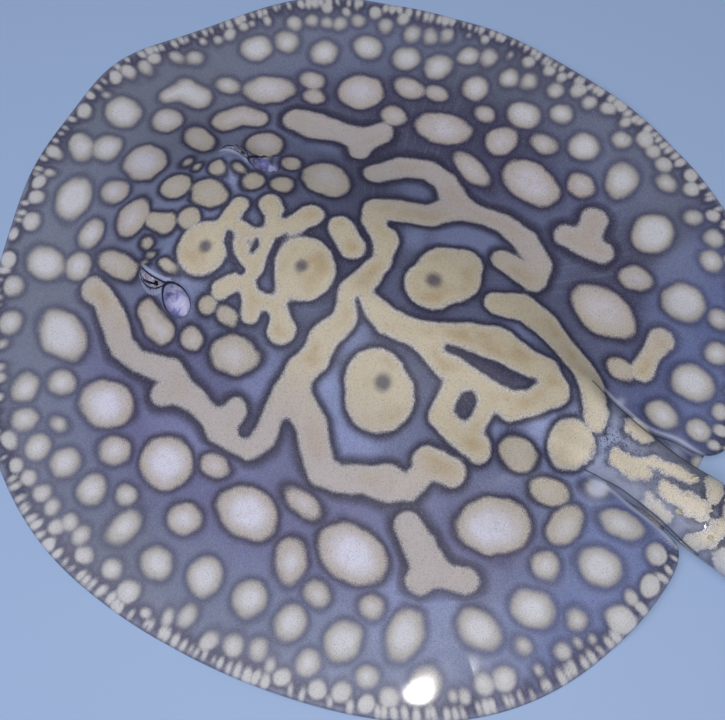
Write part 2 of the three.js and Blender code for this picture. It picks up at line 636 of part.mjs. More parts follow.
function buildParts() {
  const skin = partingWalls().reduce((body, w) => body.subtract(w), bodySkin());
  const parts = {};
  for (const [name, outline] of Object.entries(regions())) parts[name] = largest(skin.intersect(prism(outline)));
  parts.tail_base = largest(skin.intersect(prism(tailBaseRegion())));
  parts.head = headCuts().reduce((body, cut) => body.subtract(cut), parts.head);
  parts.back = gillCuts().reduce((body, cut) => body.subtract(cut), parts.back);
  parts.hips = parts.hips.subtract(ellipsoid([0, VENT.y, 0], VENT.radii, 12));
  for (const { y, body } of thorns()) {
    const host = y < TAIL_CUTS.middle ? "tail_base" : "tail_middle";
    parts[host] = parts[host].add(body);
  }
  for (const [name, lobe] of Object.entries(LOBES)) {
    parts[`${name}_pelvic_fin`] = pelvicFin(lobe);
    const [x, y, z] = EYE.centre;
    parts[`${name}_eye`] = ellipsoid([lobe.side * x, y, z], EYE.radii, 12);
  }
  return { ...parts, ...underMouth(0), tail_sting: sting(), ...tailFolds() };
}

function finishOf(name) {
  if (name.endsWith("_eye")) return FINISHES.eye;
  if (name === "tail_sting") return FINISHES.sting;
  if (name === "lower_jaw" || name === "nasal_flap") return FINISHES.pale;
  return name.includes("pectoral") || name.includes("pelvic") || name.includes("fold") ? FIN_MATERIAL : SKIN_MATERIAL;
}

const ray = new THREE.Group();
ray.name = "freshwater_stingray";
for (const [name, body] of Object.entries(buildParts())) ray.add(meshFrom(name, body, finishOf(name)));

export default ray;
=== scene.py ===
"""Looks of a life-size freshwater stingray lying on its belly.

One marked skin covers the disc, the fins and the tail. The eyes, thorns, sting and mouth parts are pieces
of their own. Plan sizes are in millimetres in the frame's own axes: the snout points to -Y, +X is the
animal's left and z = 0 is the floor.
"""

import logging
import math
from dataclasses import dataclass, field
from enum import Enum

import bmesh
import bpy
import numpy as np
from mathutils import Matrix, Vector


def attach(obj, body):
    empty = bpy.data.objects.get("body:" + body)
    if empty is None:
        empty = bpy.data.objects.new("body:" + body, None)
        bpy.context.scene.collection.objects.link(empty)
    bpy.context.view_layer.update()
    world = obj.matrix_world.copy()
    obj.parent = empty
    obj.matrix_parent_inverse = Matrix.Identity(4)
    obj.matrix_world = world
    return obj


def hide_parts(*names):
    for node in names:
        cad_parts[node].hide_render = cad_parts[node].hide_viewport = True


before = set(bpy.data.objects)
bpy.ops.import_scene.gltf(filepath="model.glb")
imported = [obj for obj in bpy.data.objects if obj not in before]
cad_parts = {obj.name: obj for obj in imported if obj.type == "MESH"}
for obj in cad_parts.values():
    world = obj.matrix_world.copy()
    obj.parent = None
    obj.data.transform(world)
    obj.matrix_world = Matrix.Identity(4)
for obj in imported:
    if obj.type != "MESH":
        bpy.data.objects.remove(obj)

LOG = logging.getLogger("stingray")
MM = 0.001
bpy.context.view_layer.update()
Array = np.ndarray
Span = tuple[float, float]
Triple = tuple[float, float, float]
Socket = bpy.types.NodeSocket


# ---- small sums
def lerp(start: float | Array, end: float | Array, share: float | Array) -> float | Array:
    """Goes from start to end by a share."""
    return start + (end - start) * share


def smooth(low: float, high: float, value: float | Array) -> float | Array:
    """Rises softly from 0 at low to 1 at high."""
    share = np.clip((value - low) / (high - low), 0, 1)
    return share * share * (3 - 2 * share)


def falling(low: float, high: float, value: float | Array) -> float | Array:
    """Falls softly from 1 at low to 0 at high."""
    return 1 - smooth(low, high, value)


def bell(offset: float | Array, spread: float) -> float | Array:
    """Is 1 at no offset and fades over the spread."""
    return np.exp(-((offset / spread) ** 2))


def soft_least(one: Array, other: Array, fillet: float) -> Array:
    """Joins two distance fields with a rounded fillet."""
    near = np.clip(fillet - np.abs(one - other), 0, None) / fillet
    return np.minimum(one, other) - near * near * fillet * 0.25


def soft_most(one: Array, other: Array, fillet: float) -> Array:
    """Keeps the greater of two fields, with a rounded fillet."""
    return -soft_least(-one, -other, fillet)


# ---- the animal's form
@dataclass(frozen=True)
class DiscPlan:
    """The disc's margin, as a radius for each bearing from the snout towards the animal's left.

    Each turn of the snout is a bearing and a spread in degrees, and how far it moves the margin in mm.
    """

    cosines: tuple[float, ...] = (210.8, 8.9, 7.8, 2.1, -3.7, 2.4)
    snout_turns: tuple[Triple, ...] = ((-18, 9, 9), (12, 13, -8))

    def radius(self, bearing: float | Array) -> float | Array:
        """Gives the margin's distance from the origin, in mm."""
        even = sum(share * np.cos(k * bearing) for k, share in enumerate(self.cosines))
        return even + sum(out * bell(np.degrees(bearing) - at, wide) for at, wide, out in self.snout_turns)

    def rim(self, bearing: Array) -> Array:
        """Gives margin points in plan for bearings."""
        radius = self.radius(bearing)
        return np.stack([radius * np.sin(bearing), -radius * np.cos(bearing)], -1)

    def reach(self, x: Array, y: Array) -> Array:
        """Gives how far out a point is: 0 at the origin and 1 at the margin."""
        return np.hypot(x, y) / self.radius(np.arctan2(x, -y))


@dataclass(frozen=True)
class TailPlan:
    """The tail's line, width, depth and lift."""

    start: float = 120
    fork: float = 95
    taper_from: float = 200
    end: float = 520
    half_root: float = 19.5
    depth_root: float = 24
    half_tip: float = 1.3
    depth_tip: float = 2.2
    taper: float = 1.5
    offset: float = 3
    offset_until: float = 150
    waist: float = 2.8
    waist_span: Span = (175, 205)
    flare: float = 5.5
    flare_span: Span = (120, 160)
    lean: float = 0.3
    lean_over: float = 70
    curl: float = 16
    curl_from: float = 340
    flat: float = 0.4
    lift: float = 4
    lift_span: Span = (285, 325)

    def share(self, y: Array) -> Array:
        """Gives how far along its taper the tail is."""
        return np.clip((y - self.taper_from) / (self.end - self.taper_from), 0, 1)

    def centre(self, y: Array) -> Array:
        """Gives the midline's x at y.

        Args:
            y: Plan y, in mm.

        Returns:
            The x of the midline, in mm.
        """
        along = np.clip(y - self.start, 0, None)
        swung = along - self.lean_over * (1 - np.exp(-along / self.lean_over))
        curl = np.clip((y - self.curl_from) / (self.end - self.curl_from), 0, None) ** 2
        return self.offset * smooth(self.fork, self.offset_until, y) + self.lean * swung - self.curl * curl

    def half_width(self, y: Array) -> Array:
        """Gives half the tail's width at y."""
        waist = self.waist * falling(*self.waist_span, y) - self.flare * falling(*self.flare_span, y)
        return lerp(self.half_tip, self.half_root - waist, (1 - self.share(y)) ** self.taper)

    def depth(self, y: Array) -> Array:
        """Gives the tail's depth at y."""
        return lerp(self.depth_tip, self.depth_root, (1 - self.share(y)) ** self.taper)

    def base(self, y: Array) -> Array:
        """Gives the height of the tail's underside, which the lower fold holds up at the end."""
        return self.lift * smooth(*self.lift_span, y)

    def top(self, y: float, across: float = 0) -> float:
        """Gives the height of the tail's upper side at a share of its half width."""
        return self.base(y) + self.depth(y) / 2 * (1 + math.sqrt(1 - min(0.98, abs(across)) ** 2))


@dataclass(frozen=True)
class EyeForm:
    """The eyeball, the lids' slit and the spiracle behind it, given for the left side."""

    centre: Triple = (39.5, -109.5, 28.5)
    radii: Triple = (8, 8.6, 7.4)
    lid: float = 1
    slit_middle: Span = (45, -110)
    slit_half: float = 8.6
    slit_wide: float = 1.95
    slit_bow: float = 3.2
    slit_tilt: float = 1
    slit_power: float = 0.75
    slit_ends: float = 3
    spiracle: Span = (46.8, -92.4)
    spiracle_radii: Span = (7, 9.4)
    spiracle_turn: float = 0.35
    spiracle_depth: float = 8.5

    def slit(self, x: Array, y: Array) -> Array:
        """Gives how far points lie from the almond between the lids.

        Args:
            x, y: Plan place, in mm.

        Returns:
            Distance to the almond's edge, in mm, less than 0 inside it.
        """
        along = (y - self.slit_middle[1]) / self.slit_half
        line = self.slit_middle[0] - self.slit_bow * along**2 + self.slit_tilt * along
        half = self.slit_wide * np.clip(1 - along**2, 0, None) ** self.slit_power
        return np.abs(np.abs(x) - line) - half + self.slit_ends * np.clip(np.abs(along) - 1, 0, None)

    def spiracle_ring(self, x: Array, y: Array) -> Array:
        """Gives how far points lie from the spiracle's middle.

        Args:
            x, y: Plan place, in mm.

        Returns:
            Distance as a share of the spiracle's oval: 1 at its lip.
        """
        cos, sin = math.cos(self.spiracle_turn), math.sin(self.spiracle_turn)
        across, along = np.abs(x) - self.spiracle[0], y - self.spiracle[1]
        u = (across * cos - along * sin) / self.spiracle_radii[0]
        v = (across * sin + along * cos) / self.spiracle_radii[1]
        return np.hypot(u, v)

    def ball_top(self, x: Array, y: Array, grown: float = 0) -> Array:
        """Gives the height of the eyeball's upper side.

        Args:
            x, y: Plan place, in mm.
            grown: How much larger than the eyeball the surface is, in mm.

        Returns:
            The height in mm, or 0 beside the eyeball.
        """
        u = (np.abs(x) - self.centre[0]) / (self.radii[0] + grown)
        v = (y - self.centre[1]) / (self.radii[1] + grown)
        inside = 1 - u**2 - v**2
        ball = self.centre[2] + (self.radii[2] + grown) * np.sqrt(np.clip(inside, 0, None))
        return np.where(inside > 0, ball, 0)


@dataclass(frozen=True)
class Slot:
    """A cut in the underside: a slit with round ends, mirrored to both sides."""

    x: float
    y: float
    length: float
    width: float
    depth: float
    turn: float = 0
    bow: float = 0
    wall: float = 0.5

    def inside(self, x: Array, y: Array) -> Array:
        """Gives where the cut is.

        Args:
            x, y: Plan place, in mm.

        Returns:
            1 in the cut and 0 outside it, with soft walls.
        """
        cos, sin = math.cos(self.turn), math.sin(self.turn)
        across, along = np.abs(x) - self.x, y - self.y
        u = across * cos + along * sin
        v = along * cos - across * sin + self.bow * (u / (self.length / 2)) ** 2
        beyond = np.clip(np.abs(u) - (self.length - self.width) / 2, 0, None)
        half = self.width / 2
        return smooth(half + self.wall, half - self.wall, np.hypot(beyond, v))


@dataclass(frozen=True)
class BodyForm:
    """Heights of the whole body over plan."""

    disc: DiscPlan = DiscPlan()
    tail: TailPlan = TailPlan()
    eye: EyeForm = EyeForm()
    edge: float = 1.8
    wing: float = 13.3
    wing_powers: Span = (2.4, 0.95)
    # the notches beside the tail, right and left: where each begins and how its valley opens
    notch_apex: Span = (134, 150)
    notch_reach: float = 16
    notch_blunt: float = 6
    notch_blunt_span: Span = (-16, 2)
    notch_open: float = 26
    notch_beside: float = 0.5
    # the hump of head, back and hips: heights along y, widths at snout, shoulders and hips
    hump: float = 31
    hump_front: Span = (-222, -85)
    hump_fall: float = 0.5
    hump_fall_span: Span = (-20, 175)
    hump_width: Triple = (46, 64, 23)
    hump_widen: Span = (-150, -30)
    hump_narrow: Span = (20, 138)
    hump_powers: Span = (2.4, 4)
    hump_power_span: Span = (70, 140)
    hump_margin: int = 8
    hump_end: Span = (148, 168)
    # small forms: place x and y, height, then spread across and along
    orbit: tuple[float, float, float, float] = (36, -107, 10, 11)
    shoulder: tuple[float, float, float, float, float] = (52, -28, 3.2, 26, 44)
    ridge: Span = (1.6, 9)
    ridge_start: Span = (-60, -20)
    ridge_end: Span = (80, 110)
    # waves of the margin: mean height, then height, count and phase of each wave
    wave_mean: float = 2.4
    waves: tuple[Triple, ...] = ((2.6, 7, 1), (1.3, 12, 0))
    wave_reach: Span = (0.74, 1)
    wave_end: Span = (140, 165)
    # room over the pelvic fins
    pelvic_raise: float = 5
    pelvic_span: Span = (100, 122)
    pelvic_fade: Span = (70, 98)
    pelvic_beside: float = 0.5
    pelvic_floor: float = -4
    pelvic_roof: float = -16
    tail_blend: Span = (150, 200)
    # lids: fillet over the eyeball, how deep the eyeball is bared, walls and rim of the slit
    lid_fillet: float = 1.5
    lid_sunk: float = 1.5
    lid_wall: Span = (1.1, -0.9)
    lid_rim: Triple = (0.5, 1.4, 1.2)
    lid_reach: float = 2
    # spiracles, in shares of their oval: lip (height, place, spread), wall, and folds
    spiracle_lip: Triple = (0.9, 1.08, 0.14)
    spiracle_wall: Span = (1.04, 0.62)
    fold_height: float = 0.9
    fold_turns: Span = (1.35, 0.5)
    fold_span: Span = (0.95, 0.6)
    mouth: Slot = Slot(0, -128, 34, 3, 5, bow=3.5)
    nostril: Slot = Slot(18.5, -137, 6.5, 2.8, 4, turn=0.7)
    gills: tuple[Slot, ...] = tuple(
        Slot(43 - 2.4 * i, -52 + 12 * i, 9.5, 1.9, 2.5, turn=0.3) for i in range(5)
    )
    vent: Slot = Slot(0, 108, 2, 5, 3)

    def back_height(self, x: Array, y: Array) -> Array:
        """Gives the height that head, back and hips add to the disc.

        Args:
            x, y: Plan place, in mm.

        Returns:
            Heights in mm.
        """
        fall = 1 - self.hump_fall * smooth(*self.hump_fall_span, y)
        snout, shoulders, hips = self.hump_width
        width = lerp(snout, shoulders, smooth(*self.hump_widen, y))
        width = width - (shoulders - hips) * smooth(*self.hump_narrow, y)
        power = lerp(*self.hump_powers, smooth(*self.hump_power_span, y))
        across = np.exp(-((np.abs(x - self.tail.centre(y)) / width) ** power))
        inside = np.clip(1 - self.disc.reach(x, y) ** self.hump_margin, 0, None)
        return self.hump * smooth(*self.hump_front, y) * fall * across * inside

    def small_forms(self, x: Array, y: Array) -> Array:
        """Gives the height of the orbits, shoulders and the ridge of the back.

        Args:
            x, y: Plan place, in mm.

        Returns:
            Heights in mm.
        """
        ox, oy, rise, spread = self.orbit
        orbit = rise * bell(np.hypot(np.abs(x) - ox, y - oy), spread)
        sx, sy, lift, wide, long = self.shoulder
        shoulder = lift * bell(np.abs(x) - sx, wide) * bell(y - sy, long)
        high, thin = self.ridge
        along = smooth(*self.ridge_start, y) * falling(*self.ridge_end, y)
        return orbit + shoulder + high * bell(x, thin) * along

    def ripple(self, x: Array, y: Array) -> Array:
        """Gives how far the margin's waves lift off the floor.

        Args:
            x, y: Plan place, in mm.

        Returns:
            Heights in mm.
        """
        bearing = np.arctan2(x, -y)
        lift = self.wave_mean
        for high, count, phase in self.waves:
            lift = lift + high * np.sin(count * bearing + phase)
        return np.clip(lift, 0, None) * smooth(*self.wave_reach, self.disc.reach(x, y))

    def pelvic_room(self, x: Array, y: Array, start: float) -> Array:
        """Gives the lift of the rear lobes over the pelvic fins.

        Args:
            x, y: Plan place, in mm.
            start: Where the lift begins beside the tail's side, in mm.

        Returns:
            The lift, in mm.
        """
        beside = np.abs(x - self.tail.centre(y)) - self.tail.half_width(y)
        sideways = smooth(start, self.pelvic_beside, beside) * falling(*self.pelvic_fade, np.abs(x))
        return self.pelvic_raise * smooth(*self.pelvic_span, y) * sideways

    def wing_height(self, x: Array, y: Array) -> Array:
        """Gives the thickness of the plain disc, which thins to the margin and to the lobes' inner edges.

        Args:
            x, y: Plan place, in mm.

        Returns:
            The thickness, in mm.
        """
        flare, fall = self.wing_powers
        full = np.clip(1 - self.disc.reach(x, y) ** flare, 0, None) ** fall
        across = x - self.tail.centre(y)
        apex = np.where(across > 0, self.notch_apex[1], self.notch_apex[0])
        blunt = self.notch_blunt * falling(*self.notch_blunt_span, y - apex)
        beside = np.abs(across) - self.tail.half_width(y) - self.notch_beside
        away = np.hypot(beside, blunt) / self.notch_reach
        valley = (1 - np.clip(1 - away, 0, None) ** 2) ** fall
        parted = smooth(-self.notch_open, 0, y - apex)
        return self.edge + (self.wing - self.edge) * full * (1 - parted * (1 - valley))

    def levels(self, x: Array, y: Array, on_tail: Array) -> tuple[Array, Array]:
        """Gives the body's lower and upper heights.

        Args:
            x, y: Plan place, in mm.
            on_tail: True where the point belongs to the tail's sides.

        Returns:
            Lower heights and upper heights, in mm.
        """
        rearward = np.where(on_tail, 1, falling(*self.hump_end, y))
        waves = np.where(on_tail, 0, self.ripple(x, y) * falling(*self.wave_end, y))
        floor = waves + self.pelvic_room(x, y, self.pelvic_floor)
        roof = waves + self.pelvic_room(x, y, self.pelvic_roof)
        hump = self.back_height(x, y) * rearward
        disc = roof + self.wing_height(x, y) + hump + self.small_forms(x, y)
        beside = np.clip(np.abs(x - self.tail.centre(y)) / self.tail.half_width(y), 0, 1)
        half = self.tail.depth(y) / 2
        swell = np.sqrt(1 - beside**2)
        low = np.clip(self.tail.base(y) + half * (1 - swell) - self.tail.flat, 0, None)
        high = self.tail.base(y) + half * (1 + swell)
        blend = smooth(*self.tail_blend, y) * on_tail
        return lerp(floor, low, blend), lerp(disc, high, blend)

    def eyes_and_spiracles(self, x: Array, y: Array, top: Array) -> Array:
        """Fits the upper skin over the eyeballs, opens the lids and sinks the spiracles.

        Args:
            x, y: Plan place, in mm.
            top: Heights before the change, in mm.

        Returns:
            The changed heights.
        """
        eye = self.eye
        covered = soft_most(top, eye.ball_top(x, y, eye.lid), self.lid_fillet)
        slit, ball = eye.slit(x, y), eye.ball_top(x, y)
        high, place, spread = self.lid_rim
        lid_edge = high * bell(slit - place, spread) * (eye.ball_top(x, y, self.lid_reach) > 0)
        bared = np.where(ball > 0, np.minimum(covered, ball - self.lid_sunk), covered)
        opened = lerp(covered + lid_edge, bared, smooth(*self.lid_wall, slit))
        ring = eye.spiracle_ring(x, y)
        high, place, spread = self.spiracle_lip
        lip = high * bell(ring - place, spread)
        along, across = self.fold_turns
        folds = self.fold_height * np.sin(along * (y - eye.spiracle[1]) + across * np.abs(x))
        folds = folds * smooth(*self.fold_span, ring)
        return opened + lip - (eye.spiracle_depth - folds) * smooth(*self.spiracle_wall, ring)

    def belly_cuts(self, x: Array, y: Array) -> Array:
        """Gives how deep the mouth, nostrils, gill slits and vent go into the underside."""
        cuts = (self.mouth, self.nostril, self.vent, *self.gills)
        return sum(cut.depth * cut.inside(x, y) for cut in cuts)


# ---- plan of the skin's mesh
@dataclass(frozen=True)
class Lobe:
    """A rear lobe of the disc, with its free inner margin beside the tail."""

    side: int
    apex: float
    tip: float
    corner: float
    inner: float
    bow: float
    gap: float = 1.4
    bow_span: Span = (148, 178)

    def inner_margin(self, tail: TailPlan, y: Array) -> Array:
        """Gives points of the free inner margin at y."""
        beside = tail.half_width(y) + self.gap + self.bow * smooth(*self.bow_span, y)
        return np.stack([tail.centre(y) + self.side * beside, y], -1)


@dataclass(frozen=True)
class SkinPlan:
    """Stations round the plan: each pairs a point of the branching midline with one of the margin."""

    form: BodyForm = BodyForm()
    left: Lobe = Lobe(1, 150, 163, 202, 191, 0, 0.7)
    right: Lobe = Lobe(-1, 134, 168, 199, 178, 7)
    front_root: float = -70
    branch_end: Span = (46, 142)
    turns: tuple[float, ...] = (0, 42, 116, 139)
    fan: int = 120
    spine: int = 230
    branch: int = 105
    lobe_fan: int = 60
    turn: int = 40
    apex: int = 58
    tail: int = 240
    tip: int = 5
    rings: int = 116
    cap: float = 4
    root_power: float = 0.96

    def outer(self, lobe: Lobe) -> tuple[Array, Array]:
        """Walks from the snout round the margin to the lobe's tip.

        Args:
            lobe: The lobe of the side that is walked.

        Returns:
            Roots and rims in plan, one row for each station.
        """
        marks = np.cumsum([0, self.fan, self.spine, self.branch, self.lobe_fan])
        step = np.arange(marks[-1] + 1)
        bearing = lobe.side * np.radians(np.interp(step, marks, [*self.turns, lobe.tip]))
        end_x, end_y = self.branch_end
        across = np.interp(step, marks, [0, 0, 0, lobe.side * end_x, lobe.side * end_x])
        along = np.interp(step, marks, [self.front_root, self.front_root, self.form.tail.fork, end_y, end_y])
        return np.stack([across, along], -1), self.form.disc.rim(bearing)

    def inner(self, lobe: Lobe, tip_point: Array) -> tuple[Array, Array]:
        """Walks round the lobe's tip and forward along its inner margin to the notch.

        Args:
            lobe: The lobe that is walked.
            tip_point: Where the outer margin ended.

        Returns:
            Roots and rims in plan.
        """
        tail = self.form.tail
        share = (np.arange(self.turn) + 1.0)[:, None] / self.turn
        bend = lobe.inner_margin(tail, np.array([lobe.corner, lobe.inner]))
        curve = (1 - share) ** 2 * tip_point + 2 * share * (1 - share) * bend[0] + share**2 * bend[1]
        end = np.array([lobe.side * self.branch_end[0], self.branch_end[1]])
        back = (np.arange(self.branch) + 1.0) / self.branch
        roots = lerp(end, np.array([0, tail.fork]), back[:, None])
        beside = self.branch - self.apex
        forward = (np.arange(beside) + 1.0) / beside
        margin = lobe.inner_margin(tail, lerp(lobe.inner, lobe.apex, forward))
        close = (np.arange(self.apex) + 1.0) / self.apex
        reach = tail.half_width(lobe.apex) + lobe.gap * (1 - close)
        notch_x = tail.centre(lobe.apex) + lobe.side * reach
        notch_y = lobe.apex - 0.5 * lobe.gap * np.sin(math.pi * close)
        rims = np.concatenate([curve, margin, np.stack([notch_x, notch_y], -1)])
        return np.concatenate([np.tile(end, (self.turn, 1)), roots]), rims

    def tail_side(self, lobe: Lobe) -> tuple[Array, Array]:
        """Walks back along the tail's side to its end.

        Args:
            lobe: The lobe of the side that is walked.

        Returns:
            Roots and rims in plan.
        """
        tail = self.form.tail
        last = tail.end - self.cap
        share = (np.arange(self.tail) + 1.0) / self.tail
        rim_y, root_y = lerp(lobe.apex, last, share), lerp(tail.fork, last, share**self.root_power)
        rims = np.stack([tail.centre(rim_y) + lobe.side * tail.half_width(rim_y), rim_y], -1)
        roots = np.stack([tail.centre(root_y), root_y], -1)
        turn = np.radians(90.0 * (np.arange(self.tip) + 1.0) / (self.tip + 1.0))
        cap_y = last + self.cap * np.sin(turn)
        cap_x = tail.centre(cap_y) + lobe.side * tail.half_width(cap_y) * np.cos(turn)
        rims = np.concatenate([rims, np.stack([cap_x, cap_y], -1)])
        return np.concatenate([roots, np.tile(roots[-1], (self.tip, 1))]), rims

    def half(self, lobe: Lobe) -> tuple[Array, Array, Array]:
        """Gathers one side's stations.

        Args:
            lobe: The lobe of that side.

        Returns:
            Roots, rims, and 1 for each station of the tail and 0 for the others.
        """
        outer_roots, outer_rims = self.outer(lobe)
        inner_roots, inner_rims = self.inner(lobe, outer_rims[-1])
        tail_roots, tail_rims = self.tail_side(lobe)
        before = len(outer_roots) + len(inner_roots)
        on_tail = np.concatenate([np.zeros(before), np.ones(len(tail_roots))])
        roots = np.concatenate([outer_roots, inner_roots, tail_roots])
        return roots, np.concatenate([outer_rims, inner_rims, tail_rims]), on_tail

    def stations(self) -> tuple[Array, Array, Array]:
        """Gathers all stations in one loop, snout to left side to tail to right side.

        Returns:
            Roots, rims, and 1 for each station of the tail and 0 for the others.
        """
        left, right = self.half(self.left), self.half(self.right)
        tail = self.form.tail
        end = np.array([[float(tail.centre(tail.end)), tail.end]])
        roots = np.concatenate([left[0], left[0][-1:], right[0][:0:-1]])
        rims = np.concatenate([left[1], end, right[1][:0:-1]])
        return roots, rims, np.concatenate([left[2], [1], right[2][:0:-1]])


Solid = tuple[Array, list[tuple[int, ...]]]


def grid_faces(rows: int, columns: int, first: int = 0, closed: bool = False) -> list[tuple[int, ...]]:
    """Makes quads over a grid of points.

    Args:
        rows: How many rows the grid has.
        columns: How many points each row has.
        first: Index of the first point.
        closed: True where each row closes on itself.

    Returns:
        Faces that look along (next in the row) x (next row).
    """
    row = np.arange(rows - 1)[:, None] * columns
    across = np.arange(columns if closed else columns - 1)[None, :]
    ahead = (across + 1) % columns
    quads = np.stack([row + across, row + ahead, row + columns + ahead, row + columns + across], -1)
    return [tuple(quad) for quad in (quads.reshape(-1, 4) + first).tolist()]


def tube_solid(rings: list[Array]) -> Solid:
    """Skins closed rings of points and closes both ends with one face each.

    Args:
        rings: Rings of the same number of points, in order.

    Returns:
        Points and faces.
    """
    count = len(rings[0])
    faces = grid_faces(len(rings), count, closed=True)
    last = (len(rings) - 1) * count
    faces.append(tuple(reversed(range(count))))
    faces.append(tuple(range(last, last + count)))
    return np.concatenate(rings), faces


def rounded_loop(corners: Array, steps: int) -> Array:
    """Rounds a closed outline.

    Args:
        corners: The outline's corners.
        steps: Points made for each corner.

    Returns:
        Points of the rounded outline.
    """
    ahead = (corners + np.roll(corners, -1, 0)) / 2
    behind = np.roll(ahead, 1, 0)
    share = (np.arange(steps) / steps)[None, :, None]
    arc = (1 - share) ** 2 * behind[:, None] + 2 * share * (1 - share) * corners[:, None]
    return (arc + share**2 * ahead[:, None]).reshape(-1, corners.shape[1])


def joined(solids: list[Solid]) -> Solid:
    """Gathers several solids as one.

    Args:
        solids: The solids.

    Returns:
        Their points and faces in one list each.
    """
    points, faces, first = [], [], 0
    for solid_points, solid_faces in solids:
        points.append(solid_points)
        faces += [tuple(i + first for i in face) for face in solid_faces]
        first += len(solid_points)
    return np.concatenate(points), faces


def make_piece(name: str, solid: Solid, weld: float = 0) -> bpy.types.Object:
    """Makes a smooth-shaded object from a solid given in mm.

    Args:
        name: The piece's name.
        solid: Its points and faces.
        weld: Points closer than this, in mm, become one.

    Returns:
        The new object, riding on the root body.
    """
    mesh = bpy.data.meshes.new(name)
    mesh.from_pydata((solid[0] * MM).tolist(), [], solid[1])
    if weld:
        work = bmesh.new()
        work.from_mesh(mesh)
        bmesh.ops.remove_doubles(work, verts=work.verts, dist=weld * MM)
        bmesh.ops.recalc_face_normals(work, faces=work.faces)
        work.to_mesh(mesh)
        work.free()
    mesh.polygons.foreach_set("use_smooth", [True] * len(mesh.polygons))
    mesh.update()
    piece = bpy.data.objects.new(name, mesh)
    bpy.context.scene.collection.objects.link(piece)
    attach(piece, "root")
    LOG.info("%s: %d faces", name, len(mesh.polygons))
    return piece


def mesh_points(mesh: bpy.types.Mesh) -> tuple[Array, Array]:
    """Reads a mesh.

    Args:
        mesh: The mesh.

    Returns:
        Its points in mm and its point normals.
    """
    points = np.empty(len(mesh.vertices) * 3, np.float32)
    normals = np.empty(len(mesh.vertices) * 3, np.float32)
    mesh.vertices.foreach_get("co", points)
    mesh.vertices.foreach_get("normal", normals)
    return points.reshape(-1, 3).astype(float) / MM, normals.reshape(-1, 3)


def add_field(mesh: bpy.types.Mesh, name: str, values: Array) -> None:
    """Stores one number for each point of a mesh, for its material to read."""
    mesh.attributes.new(name, "FLOAT", "POINT").data.foreach_set("value", np.asarray(values, np.float32))


# ---- markings
class Shade(Enum):
    """How a pale mark is tinted."""

    EDGE = 0
    PEARL = 1
    NET = 2


@dataclass(frozen=True)
class Blot:
    """An oval spot: middle, width across the body, length along it and turn in degrees."""

    x: float
    y: float
    wide: float
    long: float
    turn: float = 0

    def distance(self, x: Array, y: Array) -> Array:
        """Gives the distance to the spot's edge, in mm, less than 0 inside.

        Args:
            x, y: Plan place, in mm.

        Returns:
            Distances in mm.
        """
        cos, sin = math.cos(math.radians(self.turn)), math.sin(math.radians(self.turn))
        across, along = x - self.x, y - self.y
        u = (across * cos + along * sin) / (self.wide / 2)
        v = (along * cos - across * sin) / (self.long / 2)
        return (np.hypot(u, v) - 1) * min(self.wide, self.long) / 2


@dataclass(frozen=True)
class Stroke:
    """A stroke that swells and narrows: x, y and half width at each of its bends."""

    bends: tuple[Triple, ...]

    def distance(self, x: Array, y: Array) -> Array:
        """Gives the distance to the stroke's edge, in mm, less than 0 inside.

        Args:
            x, y: Plan place, in mm.

        Returns:
            Distances in mm.
        """
        least = np.full(np.shape(x), 1e3)
        for (ax, ay, a_half), (bx, by, b_half) in zip(self.bends, self.bends[1:]):
            dx, dy = bx - ax, by - ay
            share = np.clip(((x - ax) * dx + (y - ay) * dy) / (dx * dx + dy * dy), 0, 1)
            away = np.hypot(x - ax - share * dx, y - ay - share * dy) - lerp(a_half, b_half, share)
            least = np.minimum(least, away)
        return least


def each(kind: type, *rows: tuple[float, ...]) -> tuple:
    """Makes one thing of a kind from each row of its values."""
    return tuple(kind(*row) for row in rows)


def strokes(*rows: tuple[Triple, ...]) -> tuple[Stroke, ...]:
    """Makes strokes from rows of bends."""
    return tuple(Stroke(row) for row in rows)


@dataclass(frozen=True)
class Rosette(Stroke):
    """A round mark with a soft dark middle."""

    core: Span
    core_size: float


@dataclass(frozen=True)
class Cloud:
    """A broad soft patch of painted sheen and the skin's own paler tone, or deeper ground where its strength
    is less than 0.
    """

    x: float
    y: float
    spread: float
    strength: float


@dataclass(frozen=True)
class Row:
    """A row of small spots round the margin."""

    reach: float
    pitch: float
    wide: float
    long: float
    wander: float
    keep_off: float


